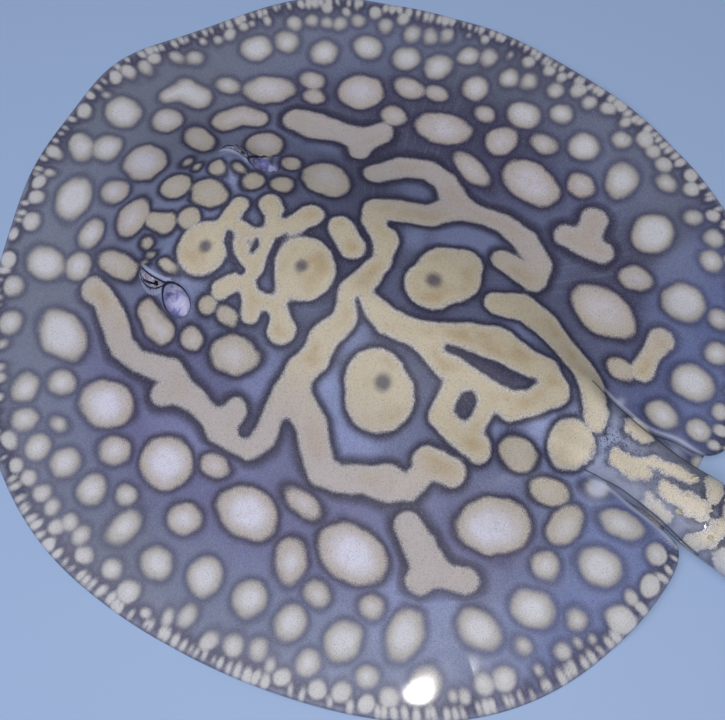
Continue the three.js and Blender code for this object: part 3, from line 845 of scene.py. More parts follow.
@dataclass(frozen=True)
class Markings:
    """The pale net, spots and margin rows that the skin carries."""

    rosettes: tuple[Rosette, ...] = (
        Rosette(((36, 24, 15.5), (41, 29, 18)), (35, 28), 4.2),
        Rosette(((-44, 34, 9.5), (-33, 30, 17), (-22, 25.5, 14)), (-25, 25), 4.2),
        Rosette(((16, -91, 13.8), (18, -91, 13.8)), (16, -90), 3.4),
        Rosette(((1, -38, 15.5), (4, -35.5, 16.5)), (2.5, -38), 3.4),
    )
    net: tuple[Stroke, ...] = strokes(
        # head and shoulders
        ((-13, -86, 5), (0, -87, 4.5), (10, -89, 6)),
        ((-1, -82, 4), (-2, -70, 4.5), (0, -62, 5)),
        ((-22, -73, 6), (-17, -66, 5.5), (-8, -60.5, 5)),
        ((-26, -49.5, 7), (-16, -54.5, 6), (-6, -62, 5), (10, -61, 5), (24, -60.5, 3.5)),
        ((4, -75, 3.5), (9, -73, 5.5), (14, -63, 6)),
        ((32, -71, 5.3), (24, -64, 4.6), (16, -60, 5)),
        ((24, -59, 4.5), (30, -52, 5), (36, -50, 5.5)),
        ((30, -52, 5), (27, -42, 4), (30, -35, 5), (36, -31, 7.7)),
        ((14, -40, 5), (27, -38, 3.6)),
        ((-27.5, -32, 6.8), (-20, -20.5, 7)),
        # right shoulder and side
        ((-73, -37, 7), (-86, -27, 7.5), (-92, -14, 6.8), (-90, -2, 7), (-80, 11, 8)),
        ((-77, 12, 8), (-62, 3, 7.5), (-55, -12, 8), (-49, -22, 7.5), (-41, -19, 7), (-33, -8, 6.5)),
        ((-33, -8, 6.5), (-22, -3.5, 5), (-10, -4.5, 6.6), (3, -7, 7)),
        (
            (-77, 14, 8), (-80, 28, 6), (-82, 40, 6.5), (-79, 54, 7.6),
            (-70, 67, 7.5), (-60, 67, 9), (-59.5, 50, 6.8),
        ),
        ((-87, -99, 7.8), (-88, -86, 9.5), (-91, -72, 7), (-92, -58, 8.2), (-84, -54, 6.3)),
        ((-92, -56, 8), (-102, -50, 7.2)),
        ((-94, 72, 6.6), (-95, 82, 8), (-94.5, 94, 6.8)),
        ((-96, 83, 7.5), (-111, 82, 7.6)),
        # middle of the back
        ((3, -7, 6.5), (5, 8, 6.2), (7.5, 15, 7), (6, 30, 6.8), (2, 44, 8.5), (-6, 57, 9), (-11, 70, 9)),
        ((6, 38, 8), (12, 52, 7), (13, 62, 6.5), (12.5, 76, 6.5), (14, 90, 7), (7, 98, 7), (-4, 106, 7)),
        ((-11, 70, 9), (-10, 86, 8), (-12, 97, 6.6), (-4, 106, 7)),
        ((14, 60, 5.5), (26, 60, 5), (35, 61, 6), (38, 73, 6), (39, 85.5, 6.8)),
        ((14, 79, 5), (34, 79, 4.6)),
        # left side
        ((3, -7, 6.5), (18, -4, 6.3), (30, -9, 7.6), (40, -8, 7.4), (50, -12.5, 7.8), (62, -12, 8.6)),
        ((62, -14, 7.5), (75, -16, 5.6), (87, -15, 6), (94.5, -20, 6.6), (95, -30, 6.4), (92, -38, 9)),
        ((60, -145, 7.2), (62, -136, 6.4), (70, -124, 8), (80, -112, 7), (83, -100, 6), (82, -90, 5.8)),
        ((82, -90, 5.8), (80, -79, 7.6), (86, -68, 7.6), (87, -58, 6.4), (90, -48, 5.6), (92, -38, 9)),
        ((88, -70, 6), (92.5, -77, 6.3)),
        ((90, -36, 6.5), (81.5, -35.5, 6.4)),
        ((62, -8, 8.5), (70, 5, 8.3), (79, 12, 8), (87, 20, 7.6), (86, 30, 7), (80, 42, 7.2), (76, 53, 8.8)),
        ((76, 53, 8.8), (73, 63, 6.4), (63, 66, 6.2), (57, 66, 8), (55.5, 79, 7.2)),
        ((89.5, 72, 7.2), (95.5, 82, 8.6), (103, 92, 8.2), (101.5, 102, 6.2), (99, 110.5, 6.6)),
        ((101, 91, 8), (110, 90, 7.2)),
        # hips
        ((-31.5, 59, 6.8), (-39, 72, 8.8), (-37, 86, 8.4), (-32, 98, 7), (-26, 110, 7), (-18, 121, 7.2)),
        ((-18, 121, 7.2), (-8, 127, 6.4), (0, 130.5, 5.6)),
        ((-61, 143, 7.4), (-52, 141.5, 5.2), (-42, 141.3, 6.4)),
    )
    gaps: tuple[Stroke, ...] = strokes(
        ((4.5, 49, 2.2), (3, 62, 2.8), (3.4, 80, 4), (1, 91, 2.8)),
        ((21, 69.5, 3.6), (27.5, 70.5, 3.6)),
        ((4, -82, 2), (9, -79.5, 2.2), (14, -75, 2), (19, -65.5, 2.6)),
        ((-26, -60, 2), (-18.5, -61.5, 1.6)),
        ((0.5, -67, 1.4), (3.5, -65.6, 1.8), (7, -65.6, 1.6)),
        ((-9, -76, 3.6), (-8, -72.5, 3.8)),
        ((-9, -54.6, 1.2), (-4, -56.4, 1.9), (6, -55, 1.7), (14, -51.5, 2.2), (21, -47, 2.6)),
        ((81, -26, 1), (87.5, -26, 4.2)),
        ((5, -3.5, 1.3), (8, -0.5, 1.5), (14, 5.5, 1.9)),
        ((-43.5, -10.5, 2.4), (-43.3, -2, 1.6)),
    )
    pearls: tuple[Blot, ...] = each(
        Blot,
        # head
        (-9, -127, 16.5, 18), (-12, -106.5, 17, 23, -10), (6, -107, 12.5, 13), (16.5, -142, 23, 20),
        (42.5, -137, 13, 29, -2), (-46.5, -140, 15, 24, -25), (-17.5, -158, 25, 30, -10),
        (-60.5, -104, 21, 22), (-31, -89, 12.5, 10), (-55, -81, 11, 12), (-37, -75, 11, 14, -15),
        (-53.5, -57, 24, 30, -22), (42, -74.5, 10, 10), (42, -61.5, 8.5, 13, -5), (60, -75, 12, 14),
        (57.5, -48.5, 18, 28, 18), (-44.5, -197, 20, 26, -15), (-13, -206, 14, 22, -35),
        (-19, -190, 17, 20, -15), (18, -187.5, 29, 23, 20), (59.5, -181, 19, 26), (90, -147, 24, 36, -12),
        (-50.5, -167.5, 18, 19), (5.5, -164.5, 16, 21), (33, -163.5, 18, 16), (52, -161, 16, 16),
        (-98.5, -125, 20, 31, 22), (-89.5, -149.5, 10.5, 15, 10),
        # left disc
        (111, -102, 26, 32, 10), (122.5, -55, 28, 29), (124, -3.5, 26, 33, -3), (115.5, 54, 28, 38, -10),
        (68.5, 110, 29, 37, 25), (95, 146, 18, 23), (61, 165, 19, 25), (116.5, 127, 19, 23, -10),
        (137, 96, 25, 18, 5), (154, 71, 20, 19), (160, 20, 20, 18), (162, -6.5, 20, 18),
        (168.5, -32, 17, 18), (154, -82.5, 17, 16), (140, -138.5, 13, 16, 15), (126, -148, 17, 16),
        (130, -83.5, 16, 18, 10), (142.5, -31, 17, 19, 20), (134, 28.5, 23, 17, 18), (105.5, 20, 12, 23, -8),
        (111, -31, 12, 17), (147, -65, 11, 12), (141.5, 48.5, 13, 15), (161.5, -57, 23, 14, -22),
        (113.5, -131.5, 14, 16), (149, -122, 15, 14), (133, -119, 9, 11), (148.5, -104.5, 16, 17, 15),
        (160, 43.5, 19, 16), (172, 60.5, 13, 12), (133, 75, 12, 14), (152, 116, 18, 17), (163, 89.5, 12, 12),
        # right disc
        (-114.5, 40.5, 26, 35, -10), (-122.5, -20, 22, 33, 15), (-122.5, -75, 24, 27, 12),
        (-62.5, 109, 25, 38, -18), (-89, 145.5, 24, 26, 25), (-119.5, 114, 26, 23, -20),
        (-141.5, 85, 25, 19, 5), (-151, 57, 19, 18), (-131, 13, 21, 17, -15), (-106, 7, 13, 27, -25),
        (-154, 16.5, 17, 20, 20), (-165, 36, 13, 13), (-141.5, 36, 13, 16), (-127.5, 66.5, 15, 17, -15),
        (-143.5, -3, 12, 14), (-157, -16.5, 18, 17), (-142.5, -34, 11, 14), (-138, -51, 13, 19),
        (-160, -43, 19, 17), (-116.5, -50, 13, 16), (-157, -63, 17, 16), (-153, -88, 17, 18, -20),
        (-136.5, -109, 17, 18), (-116, -105, 12, 16), (-106.5, -98.5, 10, 13, 10), (-120.5, -148, 18, 20),
        (-132.5, -133, 14, 17, -20), (-89.5, 117, 16, 20),
        # hips
        (31.5, 104, 15.5, 20), (40, 126, 13, 19, 12), (51, 141, 21, 15.5, -15), (73, 141, 13.5, 15),
        (36, 166, 13.5, 24, 10), (27, 147, 8, 13, 15), (-25, 160, 14, 18), (-49, 167, 19, 25),
        (-36.5, 131, 11, 15, -15),
    )
    bent_pearls: tuple[Stroke, ...] = strokes(
        ((-74, -160, 8), (-75, -172, 8.3), (-66.5, -178, 5.6)),
        ((-66, -136, 8), (-74, -130, 7), (-77, -119, 5.4)),
        ((14, -128, 4.6), (13.5, -119, 6.6)),
        ((57.5, -107.5, 6.2), (62, -99, 6.8), (63.5, -93, 6.4)),
    )
    outer_spots: tuple[Blot, ...] = each(
        Blot,
        # snout
        (-71, -211, 8, 14, -25), (-64, -217, 7, 11, -30), (-78, -203, 9, 14, -20), (-86, -201.5, 9, 10),
        (-93, -190, 8, 12), (-98, -179.5, 10, 12), (-35, -220, 9, 12, -25), (-2, -218, 8, 13, -15),
        (28, -209, 9, 10), (41.5, -203.5, 11, 11), (67, -204, 9, 10), (79, -191.5, 12, 14),
        (98, -179.5, 14, 15), (19, -214, 9, 8), (53, -209, 8, 7),
        # left
        (154, -138.5, 9, 12, -30), (163, -127, 8, 9), (165, -117, 8, 9), (168, -105, 9, 10, 20),
        (171, -96, 10, 9), (179, -88.5, 8, 9, 30), (173.5, -83, 9, 9), (176.5, -74.5, 11, 9),
        (184, -67.5, 10, 11), (182.5, -51, 11, 11), (187.5, -37.5, 12, 12), (192.5, -24.5, 6, 6.5),
        (183, -4.5, 13, 10), (187.5, 12, 12, 9, -25), (183, 24, 12, 11), (178.5, 36, 12, 10),
        (180.5, 71, 10, 9), (184, 53, 9, 8), (175.5, 82, 11, 10), (174, 95.5, 9, 8), (166, 103, 10, 11),
        (138, 141, 10, 11), (131, 148.5, 12, 12), (105, 167, 8, 9),
        # right
        (-159, -111, 10, 10), (-156, -118, 8, 9), (-152, -127, 8, 9), (-146, -136, 9, 11, -20),
        (-167, -102, 10, 10), (-172, -86, 13, 10, 15), (-182, -79.5, 10, 7, 15), (-178, -97, 10, 7, 20),
        (-175, -69, 14, 11, 20), (-178.5, -58.5, 12, 9, 20), (-184, -49.5, 12, 9, 15), (-176, -31, 13, 12),
        (-180, -19, 14, 10, 10), (-172.5, -2, 14, 12), (-176, 9.5, 13, 11), (-187.5, 3, 9, 8),
        (-177, 26, 11, 10), (-184, 38, 10, 8, -10), (-179, 47, 10, 9, -15), (-180.5, 58.5, 9, 10),
        (-166, 74, 11, 11), (-173, 86, 10, 10), (-169, 93, 9, 9), (-164, 101.5, 10, 10),
        (-153.5, 108, 12, 13), (-157, 122, 10, 10), (-140.5, 129.5, 12, 12), (-147, 139, 8, 8),
        (-133, 144.5, 12, 12), (-119.5, 149, 13, 14), (-165, 118, 8, 7),
        # rear
        (41, 187.5, 11, 11), (56.5, 191, 10, 9), (78, 185, 12, 16), (-70, 172, 12, 13), (-90, 166, 13, 14),
        (-42, 186, 9, 9),
    )
    specks: tuple[Blot, ...] = each(
        Blot,
        (26, -124, 7, 9), (-27, -133, 9, 7), (-26, -125, 6, 5), (-28, -111.5, 8, 12, -25), (34, -103, 6, 10),
        (-33, -99, 5, 6), (32, -116, 4, 8), (37, -118, 3, 6),
    )
    tail_blots: tuple[Stroke, ...] = strokes(
        ((14, 125, 11.6), (16.5, 125, 11.4)),
        ((-9, 149, 5.8), (-9, 155, 5.8)),
        ((10, 149, 5.5), (10.5, 155, 6.3), (9.5, 162, 5.5)),
        ((9, 159, 3.4), (3, 164, 2.8), (0.5, 178, 4.2), (1, 184, 3.8)),
        ((12, 176, 4.4), (13, 184, 4.6), (14, 193, 5.8)),
        ((-3, 196, 5), (4, 197, 4)),
        ((20, 171, 2.6), (24, 182, 3.2)),
        ((16, 206, 3.4), (24, 204, 4.4), (30, 198, 3.6)),
    )
    blooms: tuple[Blot, ...] = each(
        Blot,
        (66, 22, 26, 52, -20), (50, 0, 24, 22), (22, 4, 24, 16), (60, -32, 44, 22), (-60, 28, 26, 50, 30),
        (-75, -11, 20, 30), (-44, 4, 22, 16), (-26, -104, 16, 26), (-43, -96, 22, 16), (32, -100, 16, 34),
        (46, -99, 14, 16), (16, 107, 24, 12), (27, 88, 8, 12), (-24, 76, 10, 18), (21, -25, 10, 16),
        (60, 176, 90, 44), (110, 150, 60, 50), (-95, 150, 80, 56), (-50, 178, 60, 34), (20, -48, 12, 10),
        (130, 100, 50, 60), (106, -45, 18, 70), (-78, -80, 10, 60),
    )
    # paler patches are partly painted sheen and partly the skin's own tone; darker ones deepen the ground
    clouds: tuple[Cloud, ...] = each(
        Cloud,
        (-172, -100, 60, 0.2), (-172, -35, 40, 0.1), (-128, 5, 52, -0.6), (-85, -45, 40, -0.35),
        (-80, 130, 60, -0.45), (20, -30, 32, -0.6), (-30, -35, 32, -0.35), (-20, -98, 45, 0.4),
        (25, -100, 35, 0.2), (85, -165, 50, 0.1), (130, -150, 50, 0.15), (22, 158, 40, 0.2),
        (178, 90, 62, 0.45), (110, 155, 60, 0.12), (75, 30, 40, 0.2), (165, 10, 60, 0.1), (120, 90, 45, 0.1),
        (12, 120, 26, 0.45), (0, -205, 40, 0.15), (4, 142, 14, 0.45), (10, 168, 10, 0.4), (22, 190, 12, 0.4),
        (-17, 183, 12, -1), (4, 190, 8, -0.8), (-12, 164, 8, -0.5), (-150, 60, 34, 0.12),
        (-130, 90, 26, 0.2), (-100, 65, 20, 0.15), (60, 178, 44, 0.35), (17, 50, 12, -0.35),
        (-5, 30, 10, -0.3), (3, 58, 10, -1.3), (2, 78, 12, -1.3), (24, 70, 7, -1.3), (-43, -10, 4.5, -0.8),
        (7, 136, 12, 0.5), (50, 8, 12, 0.3), (60, 30, 14, 0.3), (77, 118, 10, -0.4),
    )
    rows: tuple[Row, ...] = each(
        Row,
        (0.885, 17, 9.5, 11, 0.02, 3),
        (0.948, 9.5, 5.4, 7.4, 0.01, 1),
        (0.984, 5.2, 3, 6.4, 0.003, 0.2),
    )
    seed: int = 7
    fillet: float = 3
    gap_fillet: float = 1.5
    far: float = 60.0
    # the margin's small spots: how unevenly they stand, their sizes, turn, and what they keep off the tail
    row_shift: float = 0.35
    row_sizes: Span = (0.78, 1.18)
    row_turn: float = 8
    row_off_tail: Span = (150, 6)
    # the tail's small spots, in shares of its half width: across, size, how long, and the next one
    tail_from: float = 219
    tail_rest: float = 15
    tail_across: Span = (0.35, 0.75)
    tail_sizes: Span = (0.5, 0.85)
    tail_long: Span = (1.2, 2)
    tail_shift: float = 4
    tail_steps: Span = (1, 1.5)
    tail_least: float = 7
    # shades: how near a mark counts, where the outer spots begin, painted sheen with the skin's own tone
    # towards the margin, and soft edges
    tone_reach: Span = (7, 1.2)
    outward: Span = (0.62, 0.86)
    outer_sheen_and_tone: float = 0.14
    core_edge: Span = (1.5, 0.5)
    bloom_edge: Span = (4, -7)

    def main_fields(self, x: Array, y: Array) -> tuple[Array, Array]:
        """Gives the distances to the net and to the spots.

        Args:
            x, y: Plan place, in mm.

        Returns:
            Distance to the net and distance to the nearest spot, in mm.
        """
        net = np.full(np.shape(x), self.far)
        for mark in (*self.net, *self.rosettes):
            net = soft_least(net, mark.distance(x, y), self.fillet)
        for gap in self.gaps:
            net = soft_most(net, -gap.distance(x, y), self.gap_fillet)
        for mark in self.tail_blots:
            net = np.minimum(net, mark.distance(x, y))
        spots = np.full(np.shape(x), self.far)
        for mark in (*self.pearls, *self.bent_pearls, *self.outer_spots, *self.specks):
            spots = np.minimum(spots, mark.distance(x, y))
        return net, spots

    def margin_spots(self, disc: DiscPlan, tail: TailPlan) -> list[Blot]:
        """Lays the rows of small spots round the margin, clear of the larger marks.

        Args:
            disc: The disc's margin.
            tail: The tail, which the rows stop beside.

        Returns:
            The small spots.
        """
        draw = np.random.default_rng(self.seed)
        spots, (start, beside) = [], self.row_off_tail
        for row in self.rows:
            count = int(2 * math.pi * disc.radius(0) * row.reach / row.pitch)
            bearing = np.arange(count) + self.row_shift * draw.uniform(-1.0, 1.0, count)
            bearing = bearing * 2 * math.pi / count
            reach = row.reach + row.wander * draw.uniform(-1, 1, count)
            size = draw.uniform(*self.row_sizes, count)
            radius = disc.radius((bearing + math.pi) % (2 * math.pi) - math.pi) * reach
            x, y = radius * np.sin(bearing), -radius * np.cos(bearing)
            clear = np.minimum(*self.main_fields(x, y)) > row.keep_off + row.wide / 2
            clear &= (y < start) | (np.abs(x - tail.centre(y)) > tail.half_width(y) + beside)
            for i in np.flatnonzero(clear):
                turn = math.degrees(bearing[i]) + self.row_turn * draw.uniform(-1, 1)
                spots.append(Blot(x[i], y[i], row.wide * size[i], row.long * size[i], turn))
        return spots

    def tail_spots(self, tail: TailPlan) -> list[Blot]:
        """Lays blotches along the tail that shrink towards its end.

        Args:
            tail: The tail.

        Returns:
            The blotches.
        """
        draw = np.random.default_rng(self.seed + 1)
        spots, y = [], self.tail_from
        while y < tail.end - self.tail_rest:
            half = float(tail.half_width(y))
            for side in (-1, 1):
                x = float(tail.centre(y)) + side * half * draw.uniform(*self.tail_across)
                size = half * draw.uniform(*self.tail_sizes)
                shifted = y + draw.uniform(-self.tail_shift, self.tail_shift)
                spots.append(Blot(x, shifted, size, size * draw.uniform(*self.tail_long)))
            y += max(self.tail_least, half * draw.uniform(*self.tail_steps))
        return spots

    def fields(self, form: BodyForm, x: Array, y: Array) -> dict[str, Array]:
        """Gives what the skin's material reads, for points in plan.

        Args:
            form: The body.
            x, y: Plan place, in mm.

        Returns:
            mark: distance to the nearest mark, tone: its shade, core: how dark a rosette's middle is,
            bloom: how blue the ground is, sheen_and_tone: how pale painted sheen and the skin's own tone
                make the ground, or how deep it is where less than 0.
        """
        net, spots = self.main_fields(x, y)
        beyond, fade = self.tone_reach
        small = np.full(np.shape(x), self.far)
        for blot in (*self.margin_spots(form.disc, form.tail), *self.tail_spots(form.tail)):
            reach = max(blot.wide, blot.long) / 2 + beyond
            near = np.flatnonzero((np.abs(x - blot.x) < reach) & (np.abs(y - blot.y) < reach))
            small[near] = np.minimum(small[near], blot.distance(x[near], y[near]))
        weights = [np.exp(-np.clip(group, -8, self.far) / fade) for group in (net, spots, small)]
        out = smooth(*self.outward, form.disc.reach(x, y))
        tones = (Shade.NET.value, lerp(Shade.PEARL.value, Shade.EDGE.value, out), Shade.EDGE.value)
        tone = sum(w * t for w, t in zip(weights, tones)) / (sum(weights) + 1e-9)
        core, (wide, narrow) = np.zeros(np.shape(x)), self.core_edge
        for rosette in self.rosettes:
            away = np.hypot(x - rosette.core[0], y - rosette.core[1])
            core = np.maximum(core, smooth(rosette.core_size * wide, rosette.core_size * narrow, away))
        bloom = np.zeros(np.shape(x))
        for blot in self.blooms:
            bloom = np.maximum(bloom, smooth(*self.bloom_edge, blot.distance(x, y)))
        sheen_and_tone = self.outer_sheen_and_tone * out
        for cloud in self.clouds:
            sheen_and_tone = sheen_and_tone + cloud.strength * bell(np.hypot(x - cloud.x, y - cloud.y), cloud.spread)
        mark = np.minimum(np.minimum(net, spots), small)
        return {"mark": mark, "tone": tone, "core": core, "bloom": bloom, "sheen_and_tone": sheen_and_tone}


# ---- finishes
def paint(code: str) -> tuple[float, float, float, float]:
    """Turns a six-digit display colour into the linear colour that shaders use.

    Args:
        code: Six hexadecimal digits.

    Returns:
        Red, green, blue and alpha.
    """
    parts = [int(code[i : i + 2], 16) / 255 for i in (0, 2, 4)]
    linear = [p / 12.92 if p <= 0.04045 else ((p + 0.055) / 1.055) ** 2.4 for p in parts]
    return (*linear, 1)


@dataclass(frozen=True)
class Tint:
    """A colour laid over others, its strength, and the span of values over which it comes in."""

    colour: str
    strength: float = 1
    span: Span | None = None


@dataclass(frozen=True)
class Patches:
    """A noise: its cells for each metre, its detail, and the span over which its patches come in."""

    scale: float
    detail: float
    span: Span = (0, 1)


class Tree:
    """Short hand for building a node tree."""

    def __init__(self, tree: bpy.types.NodeTree) -> None:
        """Keeps the tree that nodes are added to."""
        self.tree = tree

    def node(self, kind: str, settings: dict | None = None, **inputs: object) -> bpy.types.Node:
        """Adds a node.

        Args:
            kind: The node's type, without the ShaderNode prefix.
            settings: Values for the node's own properties.
            inputs: Values or sockets for its inputs, with _ for a space in the name.

        Returns:
            The new node.
        """
        made = self.tree.nodes.new("ShaderNode" + kind)
        for name, value in (settings or {}).items():
            setattr(made, name, value)
        for name, value in inputs.items():
            self.put(made.inputs[name.replace("_", " ")], value)
        return made

    def put(self, socket: Socket, value: object) -> None:
        """Links a socket to an input, or sets its value, which may be a display colour.

        Args:
            socket: Socket to feed.
            value: Output to link, number, vector or display colour.
        """
        if isinstance(value, Socket):
            self.tree.links.new(value, socket)
        else:
            socket.default_value = paint(value) if isinstance(value, str) else value

    def sum(self, operation: str, *values: object) -> Socket:
        """Adds a Math node and gives its output.

        Args:
            operation: Name of the Math operation.
            values: Its inputs in order.

        Returns:
            The output.
        """
        made = self.node("Math", {"operation": operation})
        for socket, value in zip(made.inputs, values):
            self.put(socket, value)
        return made.outputs[0]

    def step(self, value: object, low: float, high: float) -> Socket:
        """Goes softly from 0 at low to 1 at high.

        Args:
            value: Input of the step.
            low: Input where it gives 0.
            high: Input where it gives 1.

        Returns:
            The output.
        """
        settings = {"interpolation_type": "SMOOTHSTEP"}
        falling = low > high
        ends = {"From_Min": min(low, high), "From_Max": max(low, high)}
        out = {"To_Min": 1 if falling else 0, "To_Max": 0 if falling else 1}
        return self.node("MapRange", settings, Value=value, **ends, **out).outputs[0]

    def mix(self, share: object, one: object, other: object) -> Socket:
        """Mixes two colours.

        Args:
            share: Share of the second colour.
            one: First colour.
            other: Second colour.

        Returns:
            The output.
        """
        made = self.node("Mix", {"data_type": "RGBA"})
        for index, value in ((0, share), (6, one), (7, other)):
            self.put(made.inputs[index], value)
        return made.outputs[2]

    def noise(self, scale: float, detail: float = 2, **inputs: object) -> Socket:
        """Adds a noise whose scale is in cells for each metre, and gives its value."""
        return self.node("TexNoise", None, Scale=scale, Detail=detail, **inputs).outputs[0]

    def times(self, one: object, other: object) -> Socket:
        """Multiplies two values."""
        return self.sum("MULTIPLY", one, other)

    def between(self, share: object, start: float, end: float) -> Socket:
        """Goes evenly from start to end by a share."""
        return self.sum("MULTIPLY_ADD", share, end - start, start)

    def away(self, value: object, middle: float) -> Socket:
        """Gives how far a value is from a middle one."""
        return self.sum("ABSOLUTE", self.sum("SUBTRACT", value, middle))

    def clamp(self, value: object) -> Socket:
        """Keeps a value between 0 and 1."""
        return self.node("Clamp", None, Value=value).outputs[0]

    def layer(self, under: object, tint: Tint, share: object, where: object = None) -> Socket:
        """Lays a tint over a colour.

        Args:
            under: The colour below.
            tint: The tint.
            share: What the tint follows.
            where: A share that the tint is multiplied by, if any.

        Returns:
            The new colour.
        """
        if tint.span:
            share = self.step(share, *tint.span)
        if where is not None:
            share = self.times(share, where)
        if tint.strength != 1:
            share = self.times(share, tint.strength)
        return self.mix(share, under, tint.colour)

    def field(self, name: str) -> Socket:
        """Reads a number stored on the mesh."""
        return self.node("Attribute", {"attribute_name": name}).outputs["Fac"]


def new_group(name: str, inputs: dict[str, float], outputs: tuple[str, ...]) -> tuple[Tree, object, object]:
    """Starts a shader group of numbers.

    Args:
        name: The group's name.
        inputs: Names and first values of its inputs.
        outputs: Names of its outputs.

    Returns:
        The tree, its input node and its output node.
    """
    tree = bpy.data.node_groups.new(name, "ShaderNodeTree")
    tree.interface.new_socket("Vector", in_out="INPUT", socket_type="NodeSocketVector")
    for label, value in inputs.items():
        made = tree.interface.new_socket(label, in_out="INPUT", socket_type="NodeSocketFloat")
        made.default_value = value
    for label in outputs:
        tree.interface.new_socket(label, in_out="OUTPUT", socket_type="NodeSocketFloat")
    return Tree(tree), tree.nodes.new("NodeGroupInput"), tree.nodes.new("NodeGroupOutput")


class Effects:
    """Shader groups that several finishes share."""

    def __init__(self) -> None:
        """Builds each group once."""
        self.wet_grain = self._wet_grain()
        self.flecks = self._flecks()

    def _wet_grain(self) -> bpy.types.NodeTree:
        """Builds the fine pebbled relief of wet skin and its uneven gloss.

        Returns:
            The group.
        """
        kit, start, end = new_group("wet_grain", {"Grain": 900, "Swell": 90}, ("Height", "Gloss"))
        fine = kit.node("TexVoronoi", None, Vector=start.outputs["Vector"], Scale=start.outputs["Grain"])
        broad = kit.noise(start.outputs["Swell"], 3, Vector=start.outputs["Vector"])
        pebble = kit.times(fine.outputs["Distance"], 0.3)
        kit.put(end.inputs["Height"], kit.sum("ADD", pebble, broad))
        kit.put(end.inputs["Gloss"], kit.sum("MULTIPLY_ADD", broad, 0.3, 0.35))
        return kit.tree

    def _flecks(self) -> bpy.types.NodeTree:
        """Builds a scatter of small soft flecks.

        Returns:
            The group.
        """
        kit, start, end = new_group("flecks", {"Scale": 700, "Amount": 0.5}, ("Mask",))
        grains = kit.noise(start.outputs["Scale"], 1, Vector=start.outputs["Vector"])
        limit = kit.sum("SUBTRACT", 1, start.outputs["Amount"])
        over = kit.sum("SUBTRACT", grains, limit)
        kit.put(end.inputs["Mask"], kit.step(over, -0.04, 0.05))
        return kit.tree


class Canvas(Tree):
    """A new material's node tree, with the shared groups and the point's place at hand."""

    def __init__(self, name: str, effects: Effects) -> None:
        """Starts the material.

        Args:
            name: The material's name.
            effects: The shared groups.
        """
        self.material = bpy.data.materials.new(name)
        self.material.use_nodes = True
        super().__init__(self.material.node_tree)
        self.effects = effects
        self.inputs = self.material.node_tree.nodes["Principled BSDF"].inputs
        self.place = self.node("TexCoord").outputs["Object"]

    def cells(self, kind: Patches) -> Socket:
        """Gives a noise over the object."""
        return self.noise(kind.scale, kind.detail, Vector=self.place)

    def patches(self, kind: Patches) -> Socket:
        """Gives where a noise has its patches, from 0 to 1."""
        return self.step(self.cells(kind), *kind.span)

    def sway(self, kind: Patches) -> Socket:
        """Gives a noise that swings about 0."""
        return self.sum("SUBTRACT", self.cells(kind), 0.5)

    def shared(self, group: bpy.types.NodeTree, **inputs: object) -> bpy.types.Node:
        """Puts a shared group into the material.

        Args:
            group: The shared group.
            inputs: Values or sockets for its inputs.

        Returns:
            The group's node.
        """
        made = self.tree.nodes.new("ShaderNodeGroup")
        made.node_tree = group
        self.put(made.inputs["Vector"], self.place)
        for name, value in inputs.items():
            self.put(made.inputs[name], value)
        return made

    def flecks(self, scale: float, amount: float = 0.45) -> Socket:
        """Gives 1 on small flecks, of which there are so many in a metre, and 0 beside them."""
        return self.shared(self.effects.flecks, Scale=scale, Amount=amount).outputs["Mask"]

    def finished(self, **values: object) -> bpy.types.Material:
        """Sets sockets of the shader, with _ for a space in their names, and gives the material.

        Args:
            values: Inputs by name.

        Returns:
            The material.
        """
        for name, value in values.items():
            self.put(self.inputs[name.replace("_", " ")], value)
        return self.material

    def relief(self, grain: float, swell: float, strength: float, depth: float) -> Socket:
        """Raises the fine grain of wet skin.

        Args:
            grain: Pebbles for each metre.
            swell: Broader swells for each metre.
            strength: How strongly they show.
            depth: Their depth, in metres.

        Returns:
            The roughness that goes with the grain.
        """
        made = self.shared(self.effects.wet_grain, Grain=grain, Swell=swell)
        bump = self.node("Bump", None, Strength=strength, Distance=depth, Height=made.outputs["Height"])
        self.put(self.inputs["Normal"], bump.outputs[0])
        return made.outputs["Gloss"]


